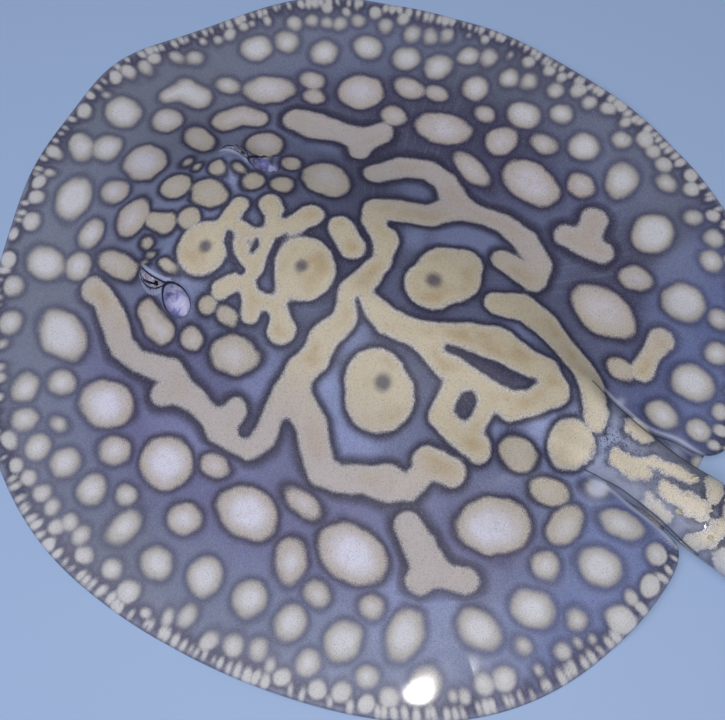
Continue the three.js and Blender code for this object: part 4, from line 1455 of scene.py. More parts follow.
@dataclass(frozen=True)
class SkinFinish:
    """The wet, marked skin: grey-blue ground, dark halos, pale marks and a pale belly."""

    # ground
    ground: str = "666b88"
    dusk: str = "55586c"
    dusk_patches: Patches = Patches(11, 2, (0.35, 0.65))
    bloom: Tint = Tint("8891b4")
    open_ground: Tint = Tint("8891b4", 0.22, (4, 10))
    # painted sheen, partly the skin's own paler tone
    sheen_and_tone: Tint = Tint("a7b4dd")
    deep: Tint = Tint("393850")
    streak: Tint = Tint("8f94ae", 0.22, (0.5, 0.75))
    ground_grain: Tint = Tint("413b57", 0.2)
    tail_ground: Tint = Tint("a2a5b2", 0.5)
    pepper: Tint = Tint("232236")
    fore: Tint = Tint("8b8e92", 0.35)
    purple: Tint = Tint("6a5c93", 0.32)
    outer: Tint = Tint("7a7f8a", 0.4, (0.68, 0.86))
    lobe: Tint = Tint("5265a8", 0.42)
    # halos round the marks: each pair goes from the middle of the disc to its margin
    halo: str = "413b57"
    net_halo: str = "332f47"
    outline: str = "232236"
    halo_span: Span = (4.6, 1)
    halo_strength: Span = (0.92, 0.46)
    halo_rim: float = 0.35
    halo_rim_span: Span = (0.92, 0.97)
    halo_narrowed: float = 0.58
    halo_outward: Span = (0.6, 0.84)
    halo_bare: Patches = Patches(130, 1, (0.42, 0.56))
    line_span: Span = (2.6, 0.9)
    line_strength: Span = (0.36, 0.04)
    # net
    net: str = "cfc2a5"
    net_far: str = "c1b7b1"
    net_patch: Tint = Tint("b39769", 0.6, (-1.5, -6))
    net_patches: Patches = Patches(45, 2, (0.42, 0.66))
    net_tail: Tint = Tint("eee2c8", 0.75)
    net_rim: Tint = Tint("d4d0d0", 1, (-2.4, -0.9))
    net_rim_strength: Span = (0.15, 0.6)
    net_tones: Span = (0.9, 1.9)
    core: Tint = Tint("57525a", 0.9)
    aside: Span = (1, 0.4)
    # pearls and spots
    cream: str = "c0b69f"
    pearl: str = "c3b8b1"
    pearl_share: Span = (0.15, 0.9)
    # pale pearl middles: partly the pearls' own colour, partly a painted reflection strongest on the
    # animal's left
    pearl_heart_and_reflection: Tint = Tint("e2e0ec", 1, (-1.5, -10))
    pearl_cloud: Tint = Tint("bfa58f", 0.3, (0.45, 0.8))
    mark_grain: str = "6f6862"
    mark_grain_span: Span = (-3.6, -0.4)
    mark_grain_strength: Span = (0.12, 0.57)
    spot: str = "b9b3aa"
    spot_heart: Tint = Tint("d9d7d8", 1, (-1, -6.5))
    margin_spot: Tint = Tint("dcdad8", 0.6, (0.9, 0.98))
    # edges of the marks, in mm: how far they swing, and from where to where they fade
    wander: float = 0.8
    wander_noise: Patches = Patches(150, 1)
    bend: Span = (4, 0.8)
    bend_noise: Patches = Patches(62, 1)
    jag: float = 5.5
    jag_noise: Patches = Patches(210, 2)
    grain: Span = (1.2, 2)
    grain_noise: Patches = Patches(1900, 1)
    fade_from: Span = (-1.4, -1.9)
    fade_to: Span = (0.9, 1.1)
    fade_netted: float = 0.3
    fade_spotted: float = -0.6
    fade_margin: float = 1.3
    # fine mottle over all of the back
    dark_mottle: Tint = Tint("232236", 0.26, (0.5, 0.68))
    pale_mottle: Tint = Tint("d9d7d8", 0.16, (0.54, 0.7))
    # spiracles, lids, painted crease shadow, and painted highlights on free edges and the tail's flank
    pit: str = "8583b8"
    pit_fold: Tint = Tint("d2cee4", 1, (0.42, 0.6))
    pit_shade: Tint = Tint("5a5470", 0.7, (0.4, 0.34))
    pit_violet: Tint = Tint("6d72b4", 0.8)
    pit_strength: float = 0.92
    pit_span: Span = (0.5, -1.6)
    lid: Tint = Tint("b4b9d2", 0.7, (1.5, 0.2))
    lid_at: float = 2
    # painted highlight on the lobes' inner edges, the disc's margin, the glints and the tail's left flank
    painted_highlight: Tint = Tint("b9bfd2")
    lip_line: Tint = Tint("232236", 1, (0.55, 0.2))
    slit_line: Tint = Tint("232236", 1, (0.5, 0.2))
    slit_line_at: float = 0.7
    # painted shadow along the creases where the lobes' edges meet the tail
    crease_shadow_line: Tint = Tint("232236", 0.7, (0.9, 0.3))
    crease_shadow_at: float = -0.7
    # underside
    belly: str = "e2dad4"
    belly_rim: Tint = Tint("8b8da6", 1, (0.93, 1.05))
    belly_cloud: Tint = Tint("d3b9b2", 0.3, (0.5, 0.8))
    # wetness
    bump: float = 0.3
    specular: float = 0.35
    film: float = 0.5
    film_span: Span = (0.85, 0.95)
    film_rough: float = 0.08

    def marks(self, kit: Canvas, distance: object) -> object:
        """Colours the pale marks.

        Args:
            kit: The material's canvas.
            distance: Distance to the mark's edge, in mm, less than 0 inside.

        Returns:
            The marks' colour.
        """
        tone, side = kit.field("tone"), kit.field("side")
        aside = kit.between(side, *self.aside)
        inward = kit.times(kit.step(distance, *self.net_patch.span), self.net_patch.strength)
        patch = kit.times(kit.patches(self.net_patches), inward)
        net = kit.mix(side, self.net, self.net_far)
        net = kit.mix(kit.times(patch, aside), net, self.net_patch.colour)
        net = kit.layer(net, self.core, kit.field("core"))
        net = kit.layer(net, self.net_tail, kit.field("tail"))
        pearl = kit.mix(kit.between(side, *self.pearl_share), self.cream, self.pearl)
        pearl = kit.layer(pearl, self.pearl_heart_and_reflection, distance, kit.field("heart"))
        pearl = kit.layer(pearl, self.pearl_cloud, kit.noise(170, 3, Vector=kit.place))
        netted = kit.step(tone, 1.15, 1.85)
        marks = kit.mix(netted, pearl, net)
        rim = kit.times(kit.step(distance, *self.net_rim.span), kit.between(netted, *self.net_rim_strength))
        marks = kit.mix(kit.times(rim, aside), marks, self.net_rim.colour)
        near_edge = kit.between(kit.step(distance, *self.mark_grain_span), *self.mark_grain_strength)
        grains = kit.flecks(1900)
        marks = kit.mix(kit.times(grains, near_edge), marks, self.mark_grain)
        spot = kit.layer(self.spot, self.spot_heart, distance)
        spot = kit.layer(spot, self.margin_spot, kit.field("reach"))
        return kit.mix(kit.step(tone, 0, 0.9), spot, marks)

    def grounds(self, kit: Canvas, distance: object) -> object:
        """Colours the skin between the marks.

        Args:
            kit: The material's canvas.
            distance: Distance to the nearest mark's edge, in mm.

        Returns:
            The ground's colour, without its halos.
        """
        sheen_and_tone, reach = kit.field("sheen_and_tone"), kit.field("reach")
        along_rays = kit.node("CombineXYZ", None, X=kit.field("ray"), Y=reach).outputs[0]
        pepper = kit.flecks(1000, 0.42)
        colour = kit.mix(kit.patches(self.dusk_patches), self.dusk, self.ground)
        layers = (
            (self.bloom, kit.field("bloom")),
            (self.open_ground, distance),
            (self.sheen_and_tone, kit.clamp(sheen_and_tone)),
            (self.deep, kit.clamp(kit.times(sheen_and_tone, -1))),
            (self.streak, kit.noise(1, 3, Vector=along_rays)),
            (self.ground_grain, kit.flecks(1100)),
            (self.tail_ground, kit.field("tail")),
            (self.pepper, kit.times(pepper, kit.field("pepper"))),
            (self.fore, kit.field("fore")),
            (self.purple, kit.field("purple")),
            (self.outer, reach),
            (self.lobe, kit.field("lobe")),
        )
        for tint, share in layers:
            colour = kit.layer(colour, tint, share)
        return colour

    def halos(self, kit: Canvas, distance: object, colour: object) -> object:
        """Darkens the ground round the marks.

        Args:
            kit: The material's canvas.
            distance: Distance to the nearest mark's edge, in mm.
            colour: The ground's colour.

        Returns:
            The ground's colour with its halos.
        """
        tone, side, reach = kit.field("tone"), kit.field("side"), kit.field("reach")
        netted = kit.step(tone, *self.net_tones)
        narrowed = kit.between(kit.times(netted, side), 1, self.halo_narrowed)
        near = kit.step(kit.times(distance, narrowed), *self.halo_span)
        outward = kit.step(reach, *self.halo_outward)
        strength = kit.times(near, kit.between(outward, *self.halo_strength))
        bare = kit.times(kit.field("tail"), kit.patches(self.halo_bare))
        strength = kit.times(strength, kit.between(bare, 1, 0.5))
        rim = kit.times(kit.step(reach, *self.halo_rim_span), self.halo_rim)
        strength = kit.sum("MULTIPLY_ADD", near, rim, strength)
        darkest = kit.sum("MAXIMUM", kit.step(tone, 1.1, 1.9), kit.sum("SUBTRACT", 1, side))
        colour = kit.mix(strength, colour, kit.mix(darkest, self.halo, self.net_halo))
        line = kit.times(kit.step(distance, *self.line_span), kit.between(outward, *self.line_strength))
        return kit.mix(line, colour, self.outline)

    def openings(self, kit: Canvas, skin: object) -> object:
        """Colours the spiracles and the lids, and paints shadow into the creases beside the tail and
        highlights on free edges.

        Args:
            kit: The material's canvas.
            skin: The colour so far.

        Returns:
            The new colour.
        """
        slit, ring = kit.field("slit"), kit.field("ring")
        folds = kit.noise(170, 2, Vector=kit.place)
        pit = kit.layer(self.pit, self.pit_fold, folds)
        pit = kit.layer(pit, self.pit_shade, folds)
        pit = kit.layer(pit, self.pit_violet, kit.field("violet"))
        faded = kit.sum("MULTIPLY_ADD", kit.field("fade"), 5, ring)
        skin = kit.mix(kit.times(kit.step(faded, *self.pit_span), self.pit_strength), skin, pit)
        skin = kit.layer(skin, self.lid, kit.away(slit, self.lid_at))
        skin = kit.layer(skin, self.painted_highlight, kit.field("painted_highlight"))
        skin = kit.layer(skin, self.lip_line, kit.sum("ABSOLUTE", ring), kit.field("lip"))
        skin = kit.layer(skin, self.slit_line, kit.away(slit, self.slit_line_at))
        return kit.layer(skin, self.crease_shadow_line, kit.away(kit.field("crease"), self.crease_shadow_at))

    def edge_distance(self, kit: Canvas, netted: object) -> object:
        """Lets the marks' edges wander.

        Args:
            kit: The material's canvas.
            netted: 1 on the net and 0 on the other marks.

        Returns:
            Distance to the nearest mark's edge, in mm, less than 0 inside.
        """
        wander = kit.between(kit.cells(self.wander_noise), -self.wander, self.wander)
        bent = kit.times(kit.sway(self.bend_noise), kit.between(netted, *self.bend))
        jagged = kit.times(kit.field("tail"), self.jag)
        bent = kit.sum("MULTIPLY_ADD", kit.sway(self.jag_noise), jagged, bent)
        distance = kit.sum("ADD", kit.sum("ADD", kit.field("mark"), wander), bent)
        grained = kit.between(netted, *self.grain)
        return kit.sum("MULTIPLY_ADD", kit.sway(self.grain_noise), grained, distance)

    def inside(self, kit: Canvas, distance: object, netted: object) -> object:
        """Gives where the marks are.

        Args:
            kit: The material's canvas.
            distance: Distance to the nearest mark's edge, in mm.
            netted: 1 on the net and 0 on the other marks.

        Returns:
            1 on a mark and 0 on the ground, with a soft edge.
        """
        far, spotted = kit.field("side"), kit.step(kit.field("tone"), 0.9, 0.1)
        inner = kit.sum("MULTIPLY_ADD", netted, self.fade_netted, kit.between(far, *self.fade_from))
        inner = kit.sum("MULTIPLY_ADD", spotted, self.fade_spotted, inner)
        margin = kit.step(kit.field("reach"), 0.92, 0.98)
        inner = kit.sum("MULTIPLY_ADD", margin, self.fade_margin, inner)
        soft = {"interpolation_type": "SMOOTHSTEP"}
        ends = {"From_Min": inner, "From_Max": kit.between(far, *self.fade_to), "To_Min": 1, "To_Max": 0}
        return kit.node("MapRange", soft, Value=distance, **ends).outputs[0]

    def underside(self, kit: Canvas) -> object:
        """Colours the belly.

        Args:
            kit: The material's canvas.

        Returns:
            The belly's colour.
        """
        cloud = kit.noise(60, 4, Vector=kit.place)
        rimmed = kit.sum("MULTIPLY_ADD", cloud, 0.18, kit.field("reach"))
        under = kit.layer(self.belly, self.belly_rim, rimmed)
        return kit.layer(under, self.belly_cloud, cloud)

    def material(self, effects: Effects) -> bpy.types.Material:
        """Builds the material.

        Args:
            effects: The shared groups.

        Returns:
            The finished material.
        """
        kit = Canvas("marked_skin", effects)
        netted = kit.step(kit.field("tone"), *self.net_tones)
        distance = self.edge_distance(kit, netted)
        ground = self.halos(kit, distance, self.grounds(kit, distance))
        upper = kit.mix(self.inside(kit, distance, netted), ground, self.marks(kit, distance))
        upper = kit.layer(upper, self.dark_mottle, kit.noise(1400, 3, Vector=kit.place))
        upper = kit.layer(upper, self.pale_mottle, kit.noise(1700, 3, Vector=kit.place))
        upper = self.openings(kit, upper)
        colour = kit.mix(kit.field("belly"), upper, self.underside(kit))
        film = kit.times(kit.step(kit.field("reach"), *self.film_span), self.film)
        gloss = kit.relief(1300, 140, self.bump, 0.0005)
        return kit.finished(
            Base_Color=colour, Roughness=gloss, Specular_IOR_Level=self.specular,
            Coat_Weight=film, Coat_Roughness=self.film_rough,
        )


@dataclass(frozen=True)
class EyeFinish:
    """The eyeball: a mottled violet-grey iris round a black crescent pupil."""

    iris: str = "b4acba"
    iris_dark: str = "6a6280"
    mottle: Patches = Patches(600, 3, (0.35, 0.65))
    iris_fleck: Tint = Tint("c9b7b4", 0.4)
    pupil: Tint = Tint("050407", 1, (0.15, -0.15))
    rough: float = 0.12
    film_rough: float = 0.03

    def material(self, effects: Effects) -> bpy.types.Material:
        """Builds the material.

        Args:
            effects: The shared groups.

        Returns:
            The finished material.
        """
        kit = Canvas("wet_eye", effects)
        iris = kit.mix(kit.patches(self.mottle), self.iris_dark, self.iris)
        iris = kit.layer(iris, self.iris_fleck, kit.flecks(1800))
        colour = kit.layer(iris, self.pupil, kit.field("pupil"))
        return kit.finished(
            Base_Color=colour, Roughness=self.rough, Coat_Weight=1, Coat_Roughness=self.film_rough
        )


@dataclass(frozen=True)
class HornFinish:
    """Dry horn, pale at the tips, for the thorns and the sting."""

    base: str = "b59e78"
    pale: str = "e6dcc0"
    grain: Patches = Patches(500, 4, (0.3, 0.7))
    bump: float = 0.3
    rough: float = 0.45

    def material(self, effects: Effects) -> bpy.types.Material:
        """Builds the material.

        Args:
            effects: The shared groups.

        Returns:
            The finished material.
        """
        kit = Canvas("pale_horn", effects)
        colour = kit.mix(kit.patches(self.grain), self.base, self.pale)
        colour = kit.mix(kit.field("tip"), colour, self.pale)
        kit.relief(1800, 300, self.bump, 0.0003)
        return kit.finished(Base_Color=colour, Roughness=self.rough)


@dataclass(frozen=True)
class LipFinish:
    """Pale, damp skin of the mouth's flap and jaw."""

    skin: str = "e0d2cb"
    flush: Tint = Tint("c9a7a1", 0.7)
    cloud: Patches = Patches(150, 3)
    bump: float = 0.4

    def material(self, effects: Effects) -> bpy.types.Material:
        """Builds the material.

        Args:
            effects: The shared groups.

        Returns:
            The finished material.
        """
        kit = Canvas("pale_lip", effects)
        colour = kit.layer(self.skin, self.flush, kit.cells(self.cloud))
        return kit.finished(Base_Color=colour, Roughness=kit.relief(1500, 260, self.bump, 0.0004))


# ---- the pieces
@dataclass
class Skin:
    """The one skin over disc, head, fins and tail."""

    plan: SkinPlan = field(default_factory=SkinPlan)
    marks: Markings = field(default_factory=Markings)
    finish: SkinFinish = field(default_factory=SkinFinish)
    rim_round: float = 0.35
    # how strongly rings crowd at the edge, on the disc and on the tail, and where that changes
    crowding: Span = (0.35, 1)
    crowding_span: Span = (165, 250)
    upper_fold: Triple = (428, 492, 2.6)
    lower_fold: Triple = (330, 498, 2.8)
    fold_half: Span = (0.9, 0.35)
    weld: float = 0.001
    # painted highlights on the skin: place x and y, spread and strength of each
    glints: tuple[tuple[float, float, float, float], ...] = (
        (27, 147, 4.5, 0.85), (-13, 176, 4, 0.6), (-20.5, 138.5, 2.2, 0.6),
    )
    replaced: tuple[str, ...] = (
        "snout", "head", "back", "hips", "left_pectoral_front", "right_pectoral_front",
        "left_pectoral_rear", "right_pectoral_rear", "left_pelvic_fin", "right_pelvic_fin",
        "tail_base", "tail_middle", "tail_rear", "tail_tip", "tail_upper_fold", "tail_lower_fold",
    )

    def disc_and_tail(self) -> Solid:
        """Builds the closed surface of the disc and tail.

        Returns:
            Points in mm and faces, with seams still unwelded.
        """
        form = self.plan.form
        roots, rims, on_tail = self.plan.stations()
        even = np.linspace(0.0, 1.0, self.plan.rings + 1)
        tailward = on_tail * smooth(*self.crowding_span, rims[:, 1])
        cluster = lerp(*self.crowding, tailward)[:, None]
        share = lerp(even[None, :], np.sin(even * math.pi / 2)[None, :], cluster)
        x = lerp(roots[:, :1], rims[:, :1], share)
        y = lerp(roots[:, 1:], rims[:, 1:], share)
        tailed = np.broadcast_to(on_tail[:, None] > 0.5, x.shape)
        low, high = form.levels(x, y, tailed)
        high = form.eyes_and_spiracles(x, y, high)
        low = low + form.belly_cuts(x, y)
        top = np.stack([x, y, high], -1)
        under = np.stack([x, y, low], -1)
        count, width = x.shape
        outward = (top[:, -1] - top[:, -2]) * [1, 1, 0]
        outward /= np.linalg.norm(outward, axis=1, keepdims=True) + 1e-9
        middle = (top[:, -1] + under[:, -1]) / 2
        middle = middle + outward * (high - low)[:, -1:] * self.rim_round
        rows = np.concatenate([top, middle[:, None], under[:, ::-1]], 1)
        rows = np.concatenate([rows, rows[:1]])
        faces = grid_faces(count + 1, 2 * width + 1)
        return rows.reshape(-1, 3), faces

    def pelvic_fin(self, lobe: Lobe) -> Solid:
        """Builds a pelvic fin: a thin rayed fan that grows out of the hips.

        Args:
            lobe: The lobe that it lies under.

        Returns:
            Points and faces.
        """
        tail, side = self.plan.form.tail, lobe.side

        def beside(y: float, out: float) -> Span:
            """Gives a point beside the tail."""
            return float(tail.centre(y)) + side * (float(tail.half_width(y)) + out), y

        corners = [
            beside(124, 0), (side * 44, 124), (side * 62, 143), (side * 58.5, 171),
            (side * 49, 189), beside(190, 6), beside(188, -3), beside(178, -3),
            beside(160, -3), beside(140, -2),
        ]
        outline = rounded_loop(np.array(corners), 12)
        heart = np.array(beside(140, 9))
        ray = np.arange(len(outline)) * 2.0 * math.pi / len(outline)
        upper, lower = [], []
        for share in np.linspace(0.03, 1.0, 24):
            x, y = (heart + (outline - heart) * share).T
            foot = 0.15 + 5 * smooth(146, 126, y)
            rays = 0.22 * np.sin(30 * ray) * share * (1 - share**6)
            thick = 0.5 + 2 * (1 - share**2) ** 0.7 + rays
            upper.append(np.stack([x, y, foot + thick], -1))
            lower.append(np.stack([x, y, foot], -1))
        return tube_solid(upper + lower[::-1])

    def tail_fold(self, fold: Triple, upward: bool) -> Solid:
        """Builds a thin fold along the tail.

        Args:
            fold: Where it starts and ends, in y, and how far it stands out.
            upward: True on top of the tail.

        Returns:
            Points and faces.
        """
        tail, (start, end, height), (foot_half, crest_half) = self.plan.form.tail, fold, self.fold_half
        rings = []
        for share in np.linspace(0.0, 1.0, 60):
            y = lerp(start, end, share)
            x = float(tail.centre(y))
            swell = 0.3 + height * math.sin(math.pi * min(1, share + 0.002)) ** 0.6
            foot = tail.top(y) - 0.8 if upward else float(tail.base(y)) + 0.5
            crest = tail.top(y) + swell if upward else max(0.05, float(tail.base(y)) - 0.4 - swell)
            section = [(-foot_half, foot), (-crest_half, crest), (crest_half, crest), (foot_half, foot)]
            rings.append(np.array([(x + px, y, pz) for px, pz in (section if upward else section[::-1])]))
        return tube_solid(rings)

    def dress(self, mesh: bpy.types.Mesh) -> None:
        """Stores on the mesh what its material reads.

        Args:
            mesh: The skin's mesh.
        """
        points, normals = mesh_points(mesh)
        x, y = points[:, 0], points[:, 1]
        form = self.plan.form
        for name, values in self.marks.fields(form, x, y).items():
            add_field(mesh, name, values)
        reach = form.disc.reach(x, y)
        add_field(mesh, "reach", reach)
        add_field(mesh, "ray", np.arctan2(x, -y) * 60)
        side = np.maximum(smooth(35, 85, np.abs(x)), smooth(-118, -165, y))
        left = smooth(-60, 70, x)
        add_field(mesh, "side", side)
        # how pale pearl middles get: partly their own colour, partly painted reflection, strongest on the
        # left and outward
        add_field(mesh, "heart", lerp(0.15, lerp(0.55, 1, left), side))
        add_field(mesh, "fore", smooth(-80, -180, y))
        add_field(mesh, "purple", smooth(40, 95, x) * smooth(0.85, 0.62, reach))
        for name, values in self.creases(x, y).items():
            add_field(mesh, name, values)
        add_field(mesh, "belly", smooth(0, -0.5, normals[:, 2]))

    def creases(self, x: Array, y: Array) -> dict[str, Array]:
        """Gives what colours the eyes' surroundings, the painted crease shadow and the painted highlights on
        free edges.

        Args:
            x, y: Plan place, in mm.

        Returns:
            Distances in mm (slit, ring, crease) and shares from 0 to 1 by name.
        """
        form, eye, lobe = self.plan.form, self.plan.form.eye, self.plan.right
        ring, slit = eye.spiracle_ring(x, y), eye.slit(x, y)
        near_eye = eye.ball_top(x, y, 3) > 0
        middle_x, middle_y = eye.spiracle
        inward, rearward = (middle_x - np.abs(x)) / 7, (y - middle_y) / 9
        across = x - form.tail.centre(y)
        apex = np.where(across > 0, *form.notch_apex[::-1])
        beside = np.abs(across) - form.tail.half_width(y)
        parted = smooth(-14, -2, y - apex)
        thin = np.where(across > 0, 2, 1)
        # where the painted crease shadow falls: just inside the tail's sides, from just before each notch
        crease = np.where((parted > 0) & (y < 205), np.clip(thin * beside, -6, 6), 6)
        bow = np.where(across > 0, 0, lobe.bow) * smooth(*lobe.bow_span, y)
        # painted highlights: a lit rim along each lobe's inner edge and the disc's margin, the glints, and a
        # lighter left flank of the tail in place of the light it misses
        painted_highlight = 0.6 * parted * bell(beside - bow - 2.2, 1) * (y < 195)
        painted_highlight = painted_highlight + 0.2 * smooth(0.985, 0.997, form.disc.reach(x, y)) * (beside > 0)
        on_tail = smooth(2, -2, beside) * smooth(112, 136, y)
        for spot_x, spot_y, spread, strength in self.glints:
            painted_highlight = painted_highlight + strength * bell(np.hypot(x - spot_x, y - spot_y), spread)
        flank = smooth(-9, -2, beside) * (across > 0) * smooth(135, 150, y)
        painted_highlight = painted_highlight + 0.3 * flank * smooth(0.5, -0.5, beside) * smooth(230, 200, y)
        midline = bell(across, 9) * smooth(112, 135, y) * falling(190, 260, y)
        return {
            "slit": np.where(near_eye, np.clip(slit, -4, 6), 6),
            "ring": np.clip(8 * (ring - 1), -8, 8),
            "lip": smooth(0.9, 0.3, 0.7 * rearward - 0.9 * inward),
            "fade": smooth(0.2, 1, 0.7 * rearward - 0.9 * inward),
            "violet": smooth(0, 0.9, -0.9 * inward - 0.2 * rearward),
            "crease": crease, "painted_highlight": np.clip(painted_highlight, 0, 1), "pepper": 0.8 * midline,
            "tail": on_tail, "lobe": smooth(112, 168, y) * smooth(0, 6, beside),
        }

    def build(self, effects: Effects) -> bpy.types.Object:
        """Builds and dresses the skin.

        Args:
            effects: The shared groups.

        Returns:
            The skin.
        """
        solids = [self.disc_and_tail()]
        solids += [self.pelvic_fin(self.plan.left), self.pelvic_fin(self.plan.right)]
        solids += [self.tail_fold(self.upper_fold, True), self.tail_fold(self.lower_fold, False)]
        skin = make_piece("skin", joined(solids), weld=self.weld)
        self.dress(skin.data)
        skin.data.materials.append(self.finish.material(effects))
        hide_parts(*self.replaced)
        return skin


@dataclass
class Eyes:
    """The two eyeballs, bared between the lids."""

    form: EyeForm = field(default_factory=EyeForm)
    finish: EyeFinish = field(default_factory=EyeFinish)
    around: int = 96
    down: int = 64
    pole: float = 0.02
    pupil_wide: float = 0.6
    pupil_half: float = 6.4
    pupil_out: float = 0.9
    pupil_spot: Triple = (44.3, -105.4, 1.1)

    def ball(self, side: int) -> Solid:
        """Builds one eyeball.

        Args:
            side: 1 for the left eye and -1 for the right.

        Returns:
            Points and faces.
        """
        polar = np.linspace(self.pole, math.pi - self.pole, self.down)
        turn = np.arange(self.around) * 2.0 * math.pi / self.around
        cx, cy, cz = self.form.centre
        rx, ry, rz = self.form.radii
        rings = []
        for angle in polar:
            flat = math.sin(angle)
            x = side * cx + rx * flat * np.cos(turn)
            y = cy + ry * flat * np.sin(turn)
            rings.append(np.stack([x, y, np.full(self.around, cz + rz * math.cos(angle))], -1))
        return tube_solid(rings)

    def pupil(self, x: Array, y: Array) -> Array:
        """Gives how far points lie from the thin crescent of the pupil and its round end.

        Args:
            x, y: Plan place, in mm.

        Returns:
            Distance to the pupil's edge, in mm, less than 0 inside it.
        """
        along = (y - self.form.slit_middle[1] + 1) / self.pupil_half
        line = self.form.slit_middle[0] + self.pupil_out - self.form.slit_bow * (0.7 * along) ** 2
        crescent = np.abs(np.abs(x) - line) - self.pupil_wide * np.sqrt(np.clip(1 - along**2, 0, None))
        end_x, end_y, end_radius = self.pupil_spot
        return np.minimum(crescent, np.hypot(np.abs(x) - end_x, y - end_y) - end_radius)

    def build(self, effects: Effects) -> list[bpy.types.Object]:
        """Builds and dresses both eyes.

        Args:
            effects: The shared groups.

        Returns:
            The eyeballs.
        """
        material = self.finish.material(effects)
        made = []
        for name, side in (("left_eye", 1), ("right_eye", -1)):
            piece = make_piece(name + "_ball", self.ball(side), weld=0.001)
            points, normals = mesh_points(piece.data)
            pupil = np.where(normals[:, 2] > -0.2, self.pupil(points[:, 0], points[:, 1]), 5)
            add_field(piece.data, "pupil", pupil)
            piece.data.materials.append(material)
            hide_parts(name)
            made.append(piece)
        return made


@dataclass
class Mouth:
    """The nasal flap and the lower jaw, set in the recess of the belly."""

    line: float = -128
    gap: float = 2.6
    bow: float = 3.5
    # length, half width and thickness
    flap: Triple = (13, 16, 2)
    jaw: Triple = (9, 15, 2.6)
    finish: LipFinish = field(default_factory=LipFinish)

    def plate(self, front: float, back: float, half: float, thick: float) -> Solid:
        """Builds a soft-edged plate that is bowed with the mouth.

        Args:
            front: y of its front edge at the middle.
            back: y of its back edge at the middle.
            half: Half its width.
            thick: Its thickness.

        Returns:
            Points and faces.
        """
        front_edge = [(-half, front), (0, front - 0.3), (half, front)]
        outline = rounded_loop(np.array([(-half, back), *front_edge, (half, back), (0, back)]), 14)
        heart = np.array([0, (front + back) / 2])
        rings = []
        for share, level in [(s, 0.0) for s in np.linspace(0.02, 1.0, 12)] + [(1.0, 1.0), (0.02, 1.0)]:
            x, y = (heart + (outline - heart) * share).T
            pucker = 0.16 * np.sin(1.9 * x) * share * (1 - level)
            low = 0.12 + 0.9 * share**6 + pucker.clip(0)
            z = lerp(low, np.full_like(x, thick + 0.4), level)
            rings.append(np.stack([x, y - self.bow * (x / half) ** 2, z], -1))
        return tube_solid(rings)

    def build(self, effects: Effects) -> list[bpy.types.Object]:
        """Builds and dresses the flap and the jaw.

        Args:
            effects: The shared groups.

        Returns:
            The flap and the jaw.
        """
        material = self.finish.material(effects)
        lip_front, flap_back = self.line + self.gap / 2, self.line - self.gap / 2
        made = []
        for name, front, back, half, thick in (
            ("nasal_flap", flap_back - self.flap[0], flap_back, *self.flap[1:]),
            ("lower_jaw", lip_front, lip_front + self.jaw[0], *self.jaw[1:]),
        ):
            piece = make_piece(name + "_skin", self.plate(front, back, half, thick), weld=0.001)
            piece.data.materials.append(material)
            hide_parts(name)
            made.append(piece)
        return made


